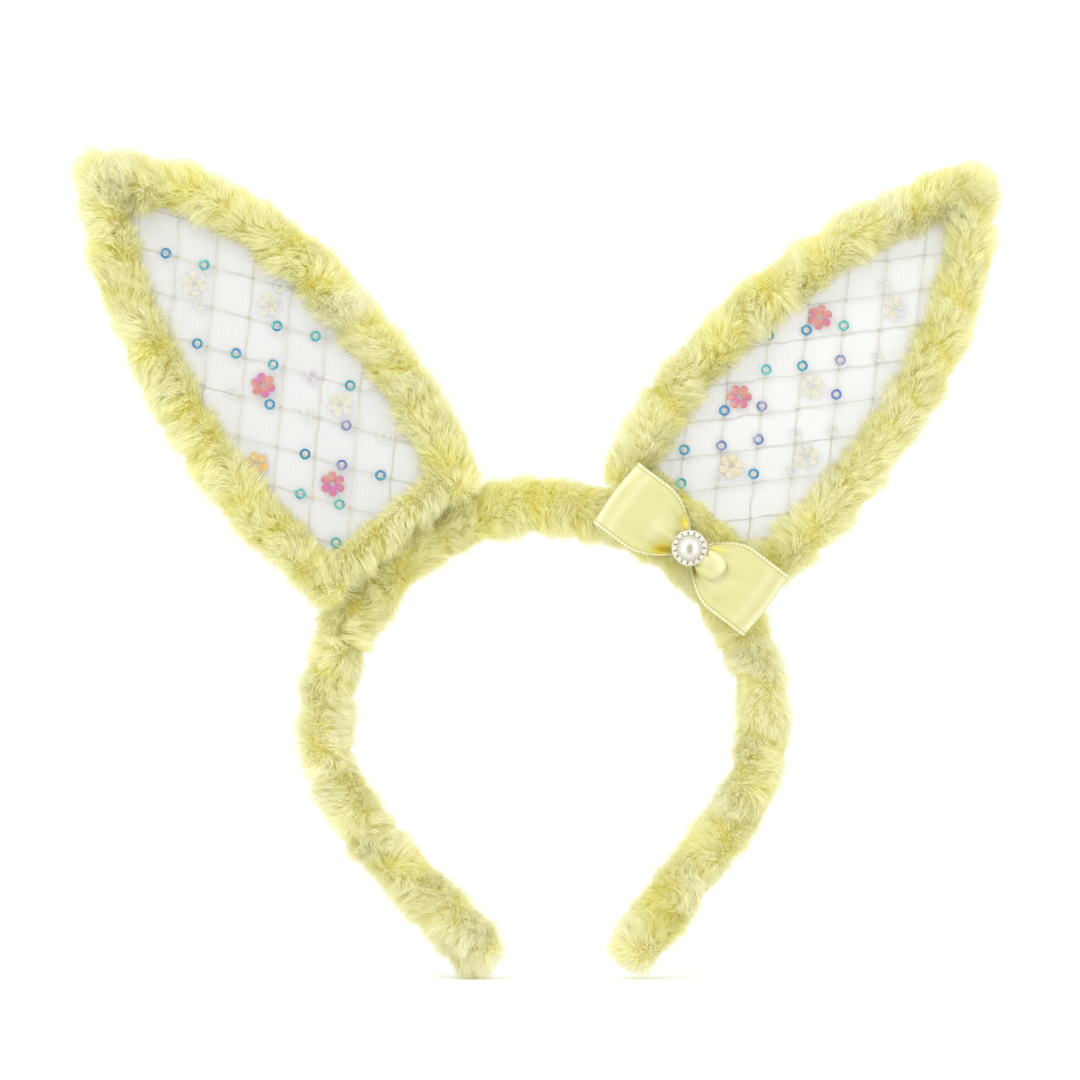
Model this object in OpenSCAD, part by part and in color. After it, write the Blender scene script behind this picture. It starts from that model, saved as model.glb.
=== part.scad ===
// Rabbit ears headband: a fur-sleeved band, two ears that hinge on their own wires,
// each with a sheer panel, a thread net and sequins, and a ribbon bow with a pearl.
// The middle of the head opening is the origin, +Z is up and the front faces -Y.

/* [Band] */
// Radius of the band's centreline over the crown
band_radius = 70; // [66:1:76]
// Radius of the tighter bend above each leg
bend_radius = 50; // [44:1:56]
// Angle through which the left leg bends inwards
left_bend = 42; // [36:1:46]
// Angle through which the right leg bends inwards
right_bend = 37; // [34:1:44]
// Length of the straight stretch of the left leg
left_straight = 50; // [36:1:56]
// Length of the straight stretch of the right leg
right_straight = 48; // [36:1:56]
// Width of the plastic strip from front to back
core_width = 9; // [7:0.5:10]
// Thickness of the plastic strip
core_thickness = 1.6; // [1.2:0.1:2.2]
// Radius of the fur sleeve's dense body
sleeve_radius = 7; // [6:0.25:7.25]
// Angle above the ears' level line where the crown and leg furs meet
fur_seam = 22; // [15:1:24]

/* [Ears] */
// Distance of the hinge wires from the middle of the head
hinge_reach = 80; // [80:1:84]
// Distance of the ears' middle plane in front of the band
ear_forward = 8; // [8:0.5:10]
// Length of the left ear's wire from its hinge to its tip
left_length = 144; // [130:1:150]
// Length of the right ear's wire from its hinge to its tip
right_length = 140; // [130:1:150]
// Half the width of an ear's wire at its foot
foot_half = 26; // [25:0.5:27]
// Thickness of the ear wire
wire_width = 1.8; // [1.4:0.1:2]
// Radius of the dense body of the fur trim along the sides
trim_radius = 6; // [5:0.25:6.25]
// Radius of the dense body of the fur trim across the foot
foot_radius = 5; // [4:0.25:5]

/* [Net] */
// Distance between neighbouring threads
net_pitch = 12; // [10:0.5:14]
// Thickness of a net thread
thread_width = 0.4; // [0.3:0.05:0.6]
// Outer diameter of a ring sequin
ring_width = 3.5; // [3:0.25:4]
// Diameter of a flower sequin
flower_width = 8.2; // [7:0.1:9]

/* [Bow] */
// Length of the bow from end to end
bow_length = 60; // [54:1:62]
// Width of the ribbon
ribbon_width = 24; // [20:1:25]
// Angle by which the bow leans with the band
bow_lean = 37; // [30:1:44]
// Diameter of the bead rim round the pearl
rim_width = 11.4; // [10:0.2:12]
// Diameter of the pearl
pearl_width = 7; // [5.6:0.2:7.2]

/* [Hidden] */
$fn = 64;

fur_yellow = [0.91, 0.88, 0.50];
satin_yellow = [0.93, 0.91, 0.63];
running_gap = 0.05;
pocket_gap = 0.2;
seam_gap = 0.1;

// Each ear is drawn upright, hinge along X through its origin, then leaned and placed.
// An ear is [hinge angle round the head, lean from upright, side of the head].
left_ear = [127.9, -39.5, -1];
right_ear = [53.8, 39.6, 1];

// The wire's two sides as Bezier handles, [across, up]; the foot and the tip are shared.
left_inner = [[foot_half, 0], [35, 36], [45, left_length * 0.75], [0, left_length]];
left_outer = [[foot_half, 0], [36, 36], [29, left_length * 0.735], [0, left_length]];
right_inner = [[foot_half, 0], [36, 32], [31, right_length * 0.65], [0, right_length]];
right_outer = [[foot_half, 0], [33, 32], [38, right_length * 0.685], [0, right_length]];
side_steps = 22;
foot_drop = 3;
foot_bend = 3;

function bezier(p, t) =
    pow(1 - t, 3) * p[0] + 3 * pow(1 - t, 2) * t * p[1]
    + 3 * (1 - t) * pow(t, 2) * p[2] + pow(t, 3) * p[3];
function bezier_way(p, t) =
    let (d = pow(1 - t, 2) * (p[1] - p[0]) + 2 * (1 - t) * t * (p[2] - p[1])
        + pow(t, 2) * (p[3] - p[2]))
    d / norm(d);

function reversed(list) = [for (i = [len(list) - 1 : -1 : 0]) list[i]];

// ---- tubes: rings of points carried along a way in the X-Z plane ----

function round_section(r, sides) = [
    for (k = [0 : sides - 1]) r * [cos(360 * k / sides), sin(360 * k / sides)]
];

// A rectangle as sixteen points, its corners among them.
function box_section(x, y) = [
    [x, 0], [x, y / 3], [x, 2 * y / 3], [x, y], [0, y], [-x, y], [-x, 2 * y / 3], [-x, y / 3],
    [-x, 0], [-x, -y / 3], [-x, -2 * y / 3], [-x, -y], [0, -y], [x, -y], [x, -2 * y / 3], [x, -y / 3]
];

// A section stood square across a way at a place on it.
function ring(at, way, section) = [
    for (q = section) [at[0] + q[0] * way[1], q[1], at[1] - q[0] * way[0]]
];
function rings(way, section) = [for (p = way) ring(p[0], p[1], section)];

// Middle of a ring with an even number of points.
function middle(points) = (points[0] + points[len(points) / 2]) / 2;
function flat(list) = [for (part = list) for (item = part) item];

// Faces of the wall between neighbouring rings of n points, outwards or inwards.
function wall_faces(count, n, shift, outward) = flat([
    for (i = [0 : count - 2], k = [0 : n - 1])
        let (a = shift + i * n + k, b = shift + i * n + (k + 1) % n)
        outward ? [[a, b + n, b], [a, a + n, b + n]] : [[a, b, b + n], [a, b + n, a + n]]
]);

// Faces of the flat washer between the first rings, or between the last ones.
function washer_faces(outer, inner, n, first) = flat([
    for (k = [0 : n - 1])
        let (a = outer + k, b = outer + (k + 1) % n, c = inner + k, d = inner + (k + 1) % n)
        first ? [[a, b, d], [a, d, c]] : [[a, d, b], [a, c, d]]
]);

// A solid tube through a list of rings, closed at both ends.
module solid_tube(outer) {
    n = len(outer[0]);
    last = (len(outer) - 1) * n;
    polyhedron(flat(outer), concat(
        [[for (k = [0 : n - 1]) k]],
        wall_faces(len(outer), n, 0, true),
        [[for (k = [n - 1 : -1 : 0]) last + k]]
    ), convexity = 6);
}

// A tube with a bore, open at both ends.
module hollow_tube(outer, inner) {
    n = len(outer[0]);
    shift = len(outer) * n;
    polyhedron(flat(concat(outer, inner)), concat(
        wall_faces(len(outer), n, 0, true),
        wall_faces(len(inner), n, shift, false),
        washer_faces(0, shift, n, true),
        washer_faces(shift - n, shift + (len(inner) - 1) * n, n, false)
    ), convexity = 8);
}

// A tube with a blind bore, open at its first rings only.
module sock(outer, inner) {
    n = len(outer[0]);
    shift = len(outer) * n;
    inner_last = shift + (len(inner) - 1) * n;
    points = flat(concat(outer, inner));
    polyhedron(concat(points, [middle(inner[len(inner) - 1])]), concat(
        wall_faces(len(outer), n, 0, true),
        wall_faces(len(inner), n, shift, false),
        washer_faces(0, shift, n, true),
        [[for (k = [n - 1 : -1 : 0]) shift - n + k]],
        [for (k = [0 : n - 1]) [inner_last + k, inner_last + (k + 1) % n, len(points)]]
    ), convexity = 8);
}

// ---- band ----

// Turns a drawing in X and Y up into the band's own plane.
module band_plane() {
    rotate([90, 0, 0]) children();
}

// A section swept round the crown between two angles.
module crown_arc(from, to) {
    band_plane()
        rotate(from)
            rotate_extrude(angle = to - from)
                translate([band_radius, 0]) children();
}

// Places down the right side of the band, each with the way it runs: part of the
// crown, then the tighter bend, then the straight stretch.
arc_steps = 30;
function crown_way(from) = [
    for (i = [0 : arc_steps - 1])
        let (a = from * (1 - i / arc_steps))
        [band_radius * [cos(a), sin(a)], [sin(a), -cos(a)]]
];
function bend_way(bend) = [
    for (i = [0 : arc_steps])
        let (a = bend * i / arc_steps)
        [
            [band_radius - bend_radius + bend_radius * cos(a), -bend_radius * sin(a)],
            [-sin(a), -cos(a)]
        ]
];
function leg_tip(bend, along) =
    let (last = bend_way(bend)[arc_steps])
    [last[0] + along * last[1], last[1]];
function leg_way(bend, straight) = concat(bend_way(bend), [leg_tip(bend, straight)]);

// The same places on the other side of the head, run the other way.
function mirrored(way) = [
    for (i = [len(way) - 1 : -1 : 0]) [[-way[i][0][0], way[i][0][1]], [way[i][1][0], -way[i][1][1]]]
];

// One side of a strip, at a distance out from its middle line.
function strip_side(way, out) = [for (p = way) p[0] + out * [-p[1][1], p[1][0]]];

module band_core() {
    way = concat(
        mirrored(leg_way(left_bend, left_straight)), mirrored(crown_way(90)),
        crown_way(90), leg_way(right_bend, right_straight)
    );
    color("white")
        band_plane()
            linear_extrude(core_width, center = true)
                polygon(concat(
                    strip_side(way, core_thickness / 2),
                    reversed(strip_side(way, -core_thickness / 2))
                ));
}

module crown_fur() {
    color(fur_yellow)
        difference() {
            crown_arc(fur_seam, 180 - fur_seam)
                difference() {
                    circle(sleeve_radius);
                    square([
                        core_thickness + 2 * running_gap, core_width + 2 * running_gap
                    ], center = true);
                }
            tie_pockets(left_ear);
            tie_pockets(right_ear);
            stitch_posts(stitch_width / 2 + pocket_gap);
        }
}

sleeve_sides = 16;

// The leg's sleeve: a sock over the strip, closed round its end.
module leg_fur(bend, straight) {
    run = concat(crown_way(fur_seam - seam_gap), leg_way(bend, straight));
    cavity = box_section(core_thickness / 2 + running_gap, core_width / 2 + running_gap);
    cap = [
        for (a = [30, 60, 80])
            let (p = leg_tip(bend, straight + sleeve_radius * sin(a)))
            ring(p[0], p[1], round_section(sleeve_radius * cos(a), sleeve_sides))
    ];
    inner_run = concat(run, [leg_tip(bend, straight + running_gap)]);
    color(fur_yellow)
        sock(
            concat(rings(run, round_section(sleeve_radius, sleeve_sides)), cap),
            rings(inner_run, cavity)
        );
}

module left_leg_fur() {
    mirror([1, 0, 0]) leg_fur(left_bend, left_straight);
}

module right_leg_fur() {
    leg_fur(right_bend, right_straight);
}

// ---- ties: a strap round the strip, a stem, and an eye round the hinge wire ----

tie_spacing = 28;
tie_width = 3;
tie_gap = 4.4;
strap_wall = 0.7;
strap_gap = 0.1;
stem_stop = 0.4;
stem_width = 1.8;
eye_width = wire_width + 2.2;

module at_hinge(ear) {
    translate([hinge_reach * cos(ear[0]), -ear_forward, hinge_reach * sin(ear[0])])
        rotate([0, ear[1], 0]) children();
}

// Angle round the head at which a tie stands, for a place along the hinge wire.
function tie_angle(ear, across) = ear[0] - atan(across / hinge_reach);

// Distance from the middle of the head to the hinge wire there.
function tie_reach(across) = norm([hinge_reach, across]);

// Draws its children with X along the strip, Z outwards, at the hinge wire's depth.
module at_tie(ear, across) {
    rotate([0, 90 - tie_angle(ear, across), 0]) children();
}

module tie_strap(grow) {
    translate([0, 0, band_radius])
        cube([
            tie_width + 2 * grow,
            core_width + 2 * (strap_wall + strap_gap + grow),
            core_thickness + 2 * (strap_wall + strap_gap + grow)
        ], center = true);
}

module tie_stem(across, width) {
    rise = tie_reach(across) - band_radius;
    foot = core_thickness / 2 + strap_wall;
    slope = atan(ear_forward / rise);
    translate([0, 0, band_radius])
        rotate([slope, 0, 0])
            translate([0, 0, foot])
                cylinder(d = width, h = norm([rise, ear_forward]) - foot - wire_width / 2 - stem_stop);
}

module tie(ear, across) {
    at_tie(ear, across) {
        difference() {
            tie_strap(0);
            translate([0, 0, band_radius])
                cube([
                    2 * tie_width, core_width + 2 * strap_gap, core_thickness + 2 * strap_gap
                ], center = true);
        }
        tie_stem(across, stem_width);
    }
    at_hinge(ear)
        translate([across, 0, 0])
            rotate([0, 90, 0])
                difference() {
                    cylinder(d = eye_width, h = tie_width, center = true);
                    cylinder(d = wire_width + 2 * running_gap, h = 2 * tie_width, center = true);
                }
}

module ties(ear) {
    color("silver")
        difference() {
            for (across = [-tie_spacing / 2, tie_spacing / 2]) tie(ear, across);
            at_hinge(ear)
                rotate([0, 90, 0])
                    cylinder(d = wire_width + 2 * running_gap, h = 2 * foot_half, center = true);
        }
}

module tie_pockets(ear) {
    for (across = [-tie_spacing / 2, tie_spacing / 2])
        at_tie(ear, across) {
            tie_strap(pocket_gap);
            tie_stem(across, stem_width + 3 * pocket_gap);
        }
}

module left_ear_ties() {
    ties(left_ear);
}

module right_ear_ties() {
    ties(right_ear);
}

// ---- ears ----

tube_sides = 12;
bore_gap = 0.25;
wire_sides = 8;

// The last ring slides along the wire onto the ear's middle plane, where the sides meet.
function mitred(points, way) = [
    for (p = points) [0, p[1], p[2] - way[1] * p[0] / way[0]]
];

// Rings up one side of an ear, from just under the foot to the tip.
function side_rings(side, section) = concat(
    [ring([side[0][0], -foot_drop], [0, 1], section), ring(side[0], [0.1, 0.995], section)],
    [
        for (i = [1 : side_steps - 1])
            let (t = i / side_steps)
            ring(bezier(side, t), bezier_way(side, t), section)
    ],
    [mitred(ring(side[3], bezier_way(side, 1), section), bezier_way(side, 1))]
);

module ear_side_fur(ear, side, hand) {
    color(fur_yellow)
        at_hinge(ear)
            mirror([hand < 0 ? 1 : 0, 0, 0])
                hollow_tube(
                    side_rings(side, round_section(trim_radius, tube_sides)),
                    side_rings(side, round_section(wire_width / 2 + bore_gap, tube_sides))
                );
}

module ear_foot_fur(ear) {
    half = foot_half - trim_radius - seam_gap;
    cuts = tie_spacing / 2;
    color(fur_yellow)
        at_hinge(ear)
            rotate([0, 90, 0])
                difference() {
                    cylinder(r = foot_radius, h = 2 * half, center = true);
                    cylinder(d = wire_width + 2 * seam_gap, h = 4 * half, center = true);
                    for (z = [-cuts, cuts])
                        translate([0, 0, z])
                            cylinder(r = 2 * foot_radius, h = tie_gap, center = true);
                }
}

// The turn at a foot corner, from along the hinge to up the side.
corner_turns = [0, 25, 50, 76];

// How far the bent wire runs in along the hinge, and how far the pin stops short of the corner.
wire_lap = 5;
pin_short = 4;

// Places round the wire: in from the hinge, up one side, over the tip and down the other.
function wire_way(minus, plus) = concat(
    [[[wire_lap - foot_half, 0], [-1, 0]]],
    [
        for (a = corner_turns)
            [[foot_bend - foot_half - foot_bend * sin(a), foot_bend * (1 - cos(a))], [-cos(a), sin(a)]]
    ],
    [
        for (i = [1 : side_steps - 1])
            let (p = bezier(minus, i / side_steps), way = bezier_way(minus, i / side_steps))
            [[-p[0], p[1]], [-way[0], way[1]]]
    ],
    [[minus[3], [1, 0]]],
    [
        for (i = [side_steps - 1 : -1 : 1])
            [bezier(plus, i / side_steps), -bezier_way(plus, i / side_steps)]
    ],
    [
        for (a = reversed(corner_turns))
            [[foot_half - foot_bend + foot_bend * sin(a), foot_bend * (1 - cos(a))], [-cos(a), -sin(a)]]
    ],
    [[[foot_half - wire_lap, 0], [-1, 0]]]
);

// The straight foot is the hinge pin, a true cylinder; the bent wire closes round its ends.
module ear_wire(ear, inner, outer) {
    bent_radius = 1.1 * wire_width / 2;
    color("silver")
        at_hinge(ear) {
            rotate([0, 90, 0])
                cylinder(d = wire_width, h = 2 * (foot_half - pin_short), center = true);
            solid_tube(rings(
                ear[2] < 0 ? wire_way(outer, inner) : wire_way(inner, outer),
                round_section(bent_radius, wire_sides)
            ));
        }
}

// Outline of an ear's wire in its own frame; the inner side faces the other ear.
function side_points(side, hand) = [
    for (i = [0 : side_steps]) let (p = bezier(side, i / side_steps)) [hand * p[0], p[1]]
];
module ear_outline(ear, inner, outer, inset) {
    offset(delta = -inset)
        polygon(concat(side_points(inner, -ear[2]), reversed(side_points(outer, ear[2]))));
}

panel_thickness = 0.3;
layer_gap = 0.05;
panel_inset = trim_radius + 0.2;
sequin_thickness = 0.3;
thread_reach = 400;

// Stands a flat drawing up in the ear's plane, with its back face at the given depth.
module in_ear(ear, depth, thickness) {
    at_hinge(ear)
        translate([0, depth, 0])
            rotate([90, 0, 0])
                linear_extrude(thickness) children();
}

module ear_panel(ear, inner, outer) {
    color([0.93, 0.93, 0.92])
        in_ear(ear, panel_thickness / 2, panel_thickness)
            ear_outline(ear, inner, outer, panel_inset);
}

net_lines = [-8 : 12];

// A net is [place of one ring, step along one thread, step along the other,
// share of the steps from a ring to its crossing, share from a ring to a flower].
left_net = [
    [7.2, 102.3], net_pitch * [0.6025, -0.8625], net_pitch * [-0.739, -0.749],
    [0.27, 0], [-0.21, 0.54]
];
right_net = [
    [-19.3, 61.3], net_pitch * [0.677, 0.73], net_pitch * [0.514, -0.772],
    [0, 0.26], [0.35, -0.33]
];

// Lattice places of the sequins, by colour.
left_blue = [
    [-1, 0], [0, 0], [2, 1], [3, 1], [0, 2], [1, 2], [2, 2], [4, 2],
    [2, 3], [3, 4], [5, 4], [3, 5], [4, 5], [4, 6]
];
left_violet = [[3, 2], [4, 3], [4, 4]];
left_clear = [[2, 0], [0, 1], [1, 3], [3, 3], [5, 3]];
left_pink_flowers = [[2, 2], [4, 4]];
left_gold_flowers = [[2, 4]];
left_clear_flowers = [[0, 0], [2, 0], [4, 2]];
right_blue = [[0, 0], [1, 0], [2, 0], [0, 1], [1, 1], [-1, 2], [-2, 3], [-2, 4], [0, 4]];
right_violet = [[2, 1], [0, 2], [2, 2], [-1, 3], [0, 3]];
right_clear = [[3, -1], [3, 1], [1, 3], [2, 3], [-1, 4], [1, 4]];
right_pink_flowers = [[1, 0], [-1, 2]];
right_gold_flowers = [[-1, 4]];
right_clear_flowers = [[3, 0], [1, 2], [1, 4]];

function net_point(net, i, j) = net[0] + i * net[1] + j * net[2];
function shifted(net, p, share) = p + share[0] * net[1] + share[1] * net[2];
function ring_places(net, places) = [for (p = places) net_point(net, p[0], p[1])];
function flower_places(net, places) = [
    for (p = places) shifted(net, net_point(net, p[0], p[1]), net[4])
];

module thread(at, way) {
    translate(at)
        rotate(atan2(way[1], way[0]))
            square([thread_reach, thread_width], center = true);
}

module ear_net(ear, inner, outer, net) {
    color([0.85, 0.82, 0.66])
        in_ear(ear, -panel_thickness / 2 - layer_gap, thread_width)
            intersection() {
                ear_outline(ear, inner, outer, panel_inset);
                for (i = net_lines) {
                    thread(shifted(net, net_point(net, 0, i), net[3]), net[1]);
                    thread(shifted(net, net_point(net, i, 0), net[3]), net[2]);
                }
            }
}

sequin_depth = -panel_thickness / 2 - 2 * layer_gap - thread_width;

module ring_sequin() {
    difference() {
        circle(d = ring_width, $fn = 12);
        circle(d = ring_width * 0.5, $fn = 12);
    }
}

// Six round petals about a middle, with a small hole for the thread.
module flower_sequin() {
    petal = flower_width * 0.3;
    difference() {
        for (k = [0 : 5])
            rotate(60 * k)
                translate([flower_width / 2 - petal / 2, 0])
                    circle(d = petal, $fn = 12);
        circle(d = petal * 0.2, $fn = 6);
    }
    difference() {
        circle(d = flower_width - petal, $fn = 12);
        circle(d = petal * 0.4, $fn = 12);
    }
}

module sequins(ear, places, tint) {
    color(tint)
        in_ear(ear, sequin_depth, sequin_thickness)
            for (p = places) translate(p) children();
}

module ring_sequins(ear, net, places, tint) {
    sequins(ear, ring_places(net, places), tint) ring_sequin();
}

module flower_sequins(ear, net, places, tint) {
    sequins(ear, flower_places(net, places), tint) flower_sequin();
}

// ---- bow ----

bow_reach = 72.6;
bow_angle = 50.9;
bow_back = 15.5;
loop_depth = 6.5;
knot_radius = 4.4;
knot_flat = 1.2;
knot_forward = 18.6;
ribbon_wall = 0.6;
stitch_width = 1;
stitch_apart = 1.6;

// Puts its children at the bow's middle, X along the ribbon and Z across it.
module at_bow() {
    translate([bow_reach * cos(bow_angle), 0, bow_reach * sin(bow_angle)])
        rotate([0, bow_lean, 0]) children();
}

// Half thickness of a loop along its length, 0 at the knot and at the fold.
function loop_bulge(s) = loop_depth / 2 * pow(sin(180 * pow(s, 1.4)), 0.5);

// Side view of a loop: out along its front, round the fold and home along its back.
function loop_side(long, wall) = concat(
    [for (k = [1 : 15]) let (s = k / 16) [s * long, loop_bulge(s) - wall]],
    [[long - wall, 0]],
    [for (k = [15 : -1 : 1]) let (s = k / 16) [s * long, wall - loop_bulge(s)]]
);

// A loop of ribbon, narrow where the knot gathers it and full width at the fold.
module ribbon_loop(long) {
    start = knot_radius + pocket_gap;
    gathered = ribbon_width * 0.42;
    translate([start, -bow_back - loop_depth / 2, 0])
        intersection() {
            linear_extrude(2 * ribbon_width, center = true)
                difference() {
                    polygon(loop_side(long - start, 0));
                    polygon(loop_side(long - start, ribbon_wall));
                }
            rotate([90, 0, 0])
                linear_extrude(2 * loop_depth, center = true)
                    polygon([
                        [0, gathered / 2], [long * 0.5, ribbon_width / 2],
                        [long, ribbon_width / 2], [long, -ribbon_width / 2],
                        [long * 0.5, -ribbon_width / 2], [0, -gathered / 2]
                    ]);
        }
}

module bow_right_loop() {
    color(satin_yellow)
        at_bow() ribbon_loop(bow_length / 2 + 0.5);
}

module bow_left_loop() {
    color(satin_yellow)
        at_bow()
            mirror([1, 0, 0]) ribbon_loop(bow_length / 2 - 0.5);
}

// The gathered middle of the ribbon, flat in front where the pearl's setting sits.
module bow_knot() {
    color(satin_yellow)
        at_bow()
            translate([0, -knot_forward, 0])
                difference() {
                    rotate([0, 90, 0])
                        cylinder(r = knot_radius, h = 2 * knot_radius, center = true);
                    translate([0, knot_flat - 2 * knot_radius, 0])
                        cube(2 * knot_radius, center = true);
                    translate([0, knot_forward, 0]) stitches(stitch_width / 2 + running_gap);
                }
}

// Two threads from the knot back to the plastic strip.
module stitches(r) {
    for (x = [-stitch_apart, stitch_apart])
        translate([x, -core_width / 2 - seam_gap, 0])
            rotate([90, 0, 0])
                cylinder(r = r, h = knot_forward - core_width / 2 - stitch_width);
}

module stitch_posts(r) {
    at_bow() stitches(r);
}

module bow_stitches() {
    color("ivory") stitch_posts(stitch_width / 2);
}

setting_back = knot_forward + knot_radius - knot_flat;
setting_thickness = 1.2;
bead_radius = 0.97;
bead_count = 15;

module at_setting() {
    at_bow()
        translate([0, -setting_back, 0])
            rotate([90, 0, 0]) children();
}

module pearl_setting() {
    color("ivory")
        at_setting()
            cylinder(r = rim_width / 2 - 2 * bead_radius - seam_gap, h = setting_thickness);
}

module setting_beads() {
    color("ivory")
        at_setting()
            for (k = [0 : bead_count - 1])
                rotate(360 * k / bead_count)
                    translate([rim_width / 2 - bead_radius, 0, bead_radius + running_gap])
                        sphere(bead_radius);
}

module pearl() {
    color("white")
        at_setting()
            translate([0, 0, setting_thickness])
                difference() {
                    sphere(d = pearl_width);
                    translate([0, 0, -pearl_width])
                        cube(2 * pearl_width, center = true);
                }
}

// ---- one module per ear piece ----

blue = [0.25, 0.62, 0.72];
violet = [0.55, 0.50, 0.76];
clear = [0.86, 0.88, 0.84];
pink = [0.90, 0.50, 0.66];
gold = [0.90, 0.78, 0.52];

module left_ear_wire() { ear_wire(left_ear, left_inner, left_outer); }
module left_ear_fur_inner() { ear_side_fur(left_ear, left_inner, 1); }
module left_ear_fur_outer() { ear_side_fur(left_ear, left_outer, -1); }
module left_ear_fur_foot() { ear_foot_fur(left_ear); }
module left_ear_panel() { ear_panel(left_ear, left_inner, left_outer); }
module left_ear_net() { ear_net(left_ear, left_inner, left_outer, left_net); }
module left_ear_blue_rings() { ring_sequins(left_ear, left_net, left_blue, blue); }
module left_ear_violet_rings() { ring_sequins(left_ear, left_net, left_violet, violet); }
module left_ear_clear_rings() { ring_sequins(left_ear, left_net, left_clear, clear); }
module left_ear_pink_flowers() {
    flower_sequins(left_ear, left_net, left_pink_flowers, pink);
}
module left_ear_gold_flowers() {
    flower_sequins(left_ear, left_net, left_gold_flowers, gold);
}
module left_ear_clear_flowers() {
    flower_sequins(left_ear, left_net, left_clear_flowers, clear);
}

module right_ear_wire() { ear_wire(right_ear, right_inner, right_outer); }
module right_ear_fur_inner() { ear_side_fur(right_ear, right_inner, -1); }
module right_ear_fur_outer() { ear_side_fur(right_ear, right_outer, 1); }
module right_ear_fur_foot() { ear_foot_fur(right_ear); }
module right_ear_panel() { ear_panel(right_ear, right_inner, right_outer); }
module right_ear_net() { ear_net(right_ear, right_inner, right_outer, right_net); }
module right_ear_blue_rings() { ring_sequins(right_ear, right_net, right_blue, blue); }
module right_ear_violet_rings() { ring_sequins(right_ear, right_net, right_violet, violet); }
module right_ear_clear_rings() { ring_sequins(right_ear, right_net, right_clear, clear); }
module right_ear_pink_flowers() {
    flower_sequins(right_ear, right_net, right_pink_flowers, pink);
}
module right_ear_gold_flowers() {
    flower_sequins(right_ear, right_net, right_gold_flowers, gold);
}
module right_ear_clear_flowers() {
    flower_sequins(right_ear, right_net, right_clear_flowers, clear);
}

band_core();
crown_fur();
left_leg_fur();
right_leg_fur();
left_ear_ties();
right_ear_ties();
bow_stitches();
bow_left_loop();
bow_right_loop();
bow_knot();
pearl_setting();
setting_beads();
pearl();
left_ear_wire();
left_ear_fur_inner();
left_ear_fur_outer();
left_ear_fur_foot();
left_ear_panel();
left_ear_net();
left_ear_blue_rings();
left_ear_violet_rings();
left_ear_clear_rings();
left_ear_pink_flowers();
left_ear_gold_flowers();
left_ear_clear_flowers();
right_ear_wire();
right_ear_fur_inner();
right_ear_fur_outer();
right_ear_fur_foot();
right_ear_panel();
right_ear_net();
right_ear_blue_rings();
right_ear_violet_rings();
right_ear_clear_rings();
right_ear_pink_flowers();
right_ear_gold_flowers();
right_ear_clear_flowers();
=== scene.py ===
import math

import bmesh
import bpy
import numpy as np
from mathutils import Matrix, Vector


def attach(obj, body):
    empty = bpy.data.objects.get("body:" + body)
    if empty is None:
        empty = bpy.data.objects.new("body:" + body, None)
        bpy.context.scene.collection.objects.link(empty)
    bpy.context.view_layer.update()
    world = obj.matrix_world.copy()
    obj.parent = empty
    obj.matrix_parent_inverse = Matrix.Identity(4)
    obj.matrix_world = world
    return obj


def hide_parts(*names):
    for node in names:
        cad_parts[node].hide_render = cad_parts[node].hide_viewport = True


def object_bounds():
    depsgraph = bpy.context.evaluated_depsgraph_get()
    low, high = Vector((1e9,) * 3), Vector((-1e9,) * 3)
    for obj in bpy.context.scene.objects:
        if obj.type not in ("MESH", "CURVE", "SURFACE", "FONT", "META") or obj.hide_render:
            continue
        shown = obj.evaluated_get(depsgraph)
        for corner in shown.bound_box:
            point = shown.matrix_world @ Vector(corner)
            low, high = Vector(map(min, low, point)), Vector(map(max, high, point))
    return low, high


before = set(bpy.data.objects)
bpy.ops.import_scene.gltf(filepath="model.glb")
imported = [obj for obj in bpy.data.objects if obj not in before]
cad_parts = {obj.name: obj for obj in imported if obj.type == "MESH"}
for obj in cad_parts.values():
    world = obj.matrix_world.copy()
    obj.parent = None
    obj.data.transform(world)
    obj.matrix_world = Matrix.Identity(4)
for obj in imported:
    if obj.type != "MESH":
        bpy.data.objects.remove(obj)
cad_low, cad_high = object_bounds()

# Lengths below are in millimetres and become metres where a mesh is made.
MM = 0.001

# ---- numbers shared with the solid model ----

CROWN_RADIUS = 70.0
BEND_RADIUS = 50.0
FUR_SEAM = 22.0
HINGE_REACH = 80.0
EAR_FORWARD = 8.0
FOOT_HALF = 26.0
NET_PITCH = 12.0

# Each side of the band: bend in degrees, then the straight length.
LEGS = {-1: (42.0, 50.0), 1: (37.0, 48.0)}

# Each ear: hinge angle round the head, lean, and the wire's two sides as Bezier handles.
EARS = {
    "left_ear": {
        "angle": 127.9, "lean": -39.5, "hand": -1, "tip_growth": 0.35, "tip_dome": 4.5,
        "inner": [(FOOT_HALF, 0), (35, 36), (45, 108), (0, 144)],
        "outer": [(FOOT_HALF, 0), (36, 36), (29, 105.84), (0, 144)],
    },
    "right_ear": {
        "angle": 53.8, "lean": 39.6, "hand": 1, "tip_growth": -0.08, "tip_dome": 3.2,
        "inner": [(FOOT_HALF, 0), (36, 32), (31, 91), (0, 140)],
        "outer": [(FOOT_HALF, 0), (33, 32), (38, 95.9), (0, 140)],
    },
}

BOW_MIDDLE = (72.6, 50.9)
BOW_LEAN = 37.0
BOW_BACK = 15.5
LOOP_DEPTH = 6.5
RIBBON_WIDTH = 24.0
KNOT_FORWARD = 18.6
KNOT_RADIUS = 4.4
KNOT_HALF = 4.3
SETTING_BACK = 21.8
RIM_WIDTH = 11.4
PEARL_WIDTH = 7.0
BEADS = 15


# ---- small tools for arrays ----

def unit(v):
    """Each row divided by its own length."""
    return v / np.maximum(np.linalg.norm(v, axis=-1, keepdims=True), 1e-12)


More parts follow.
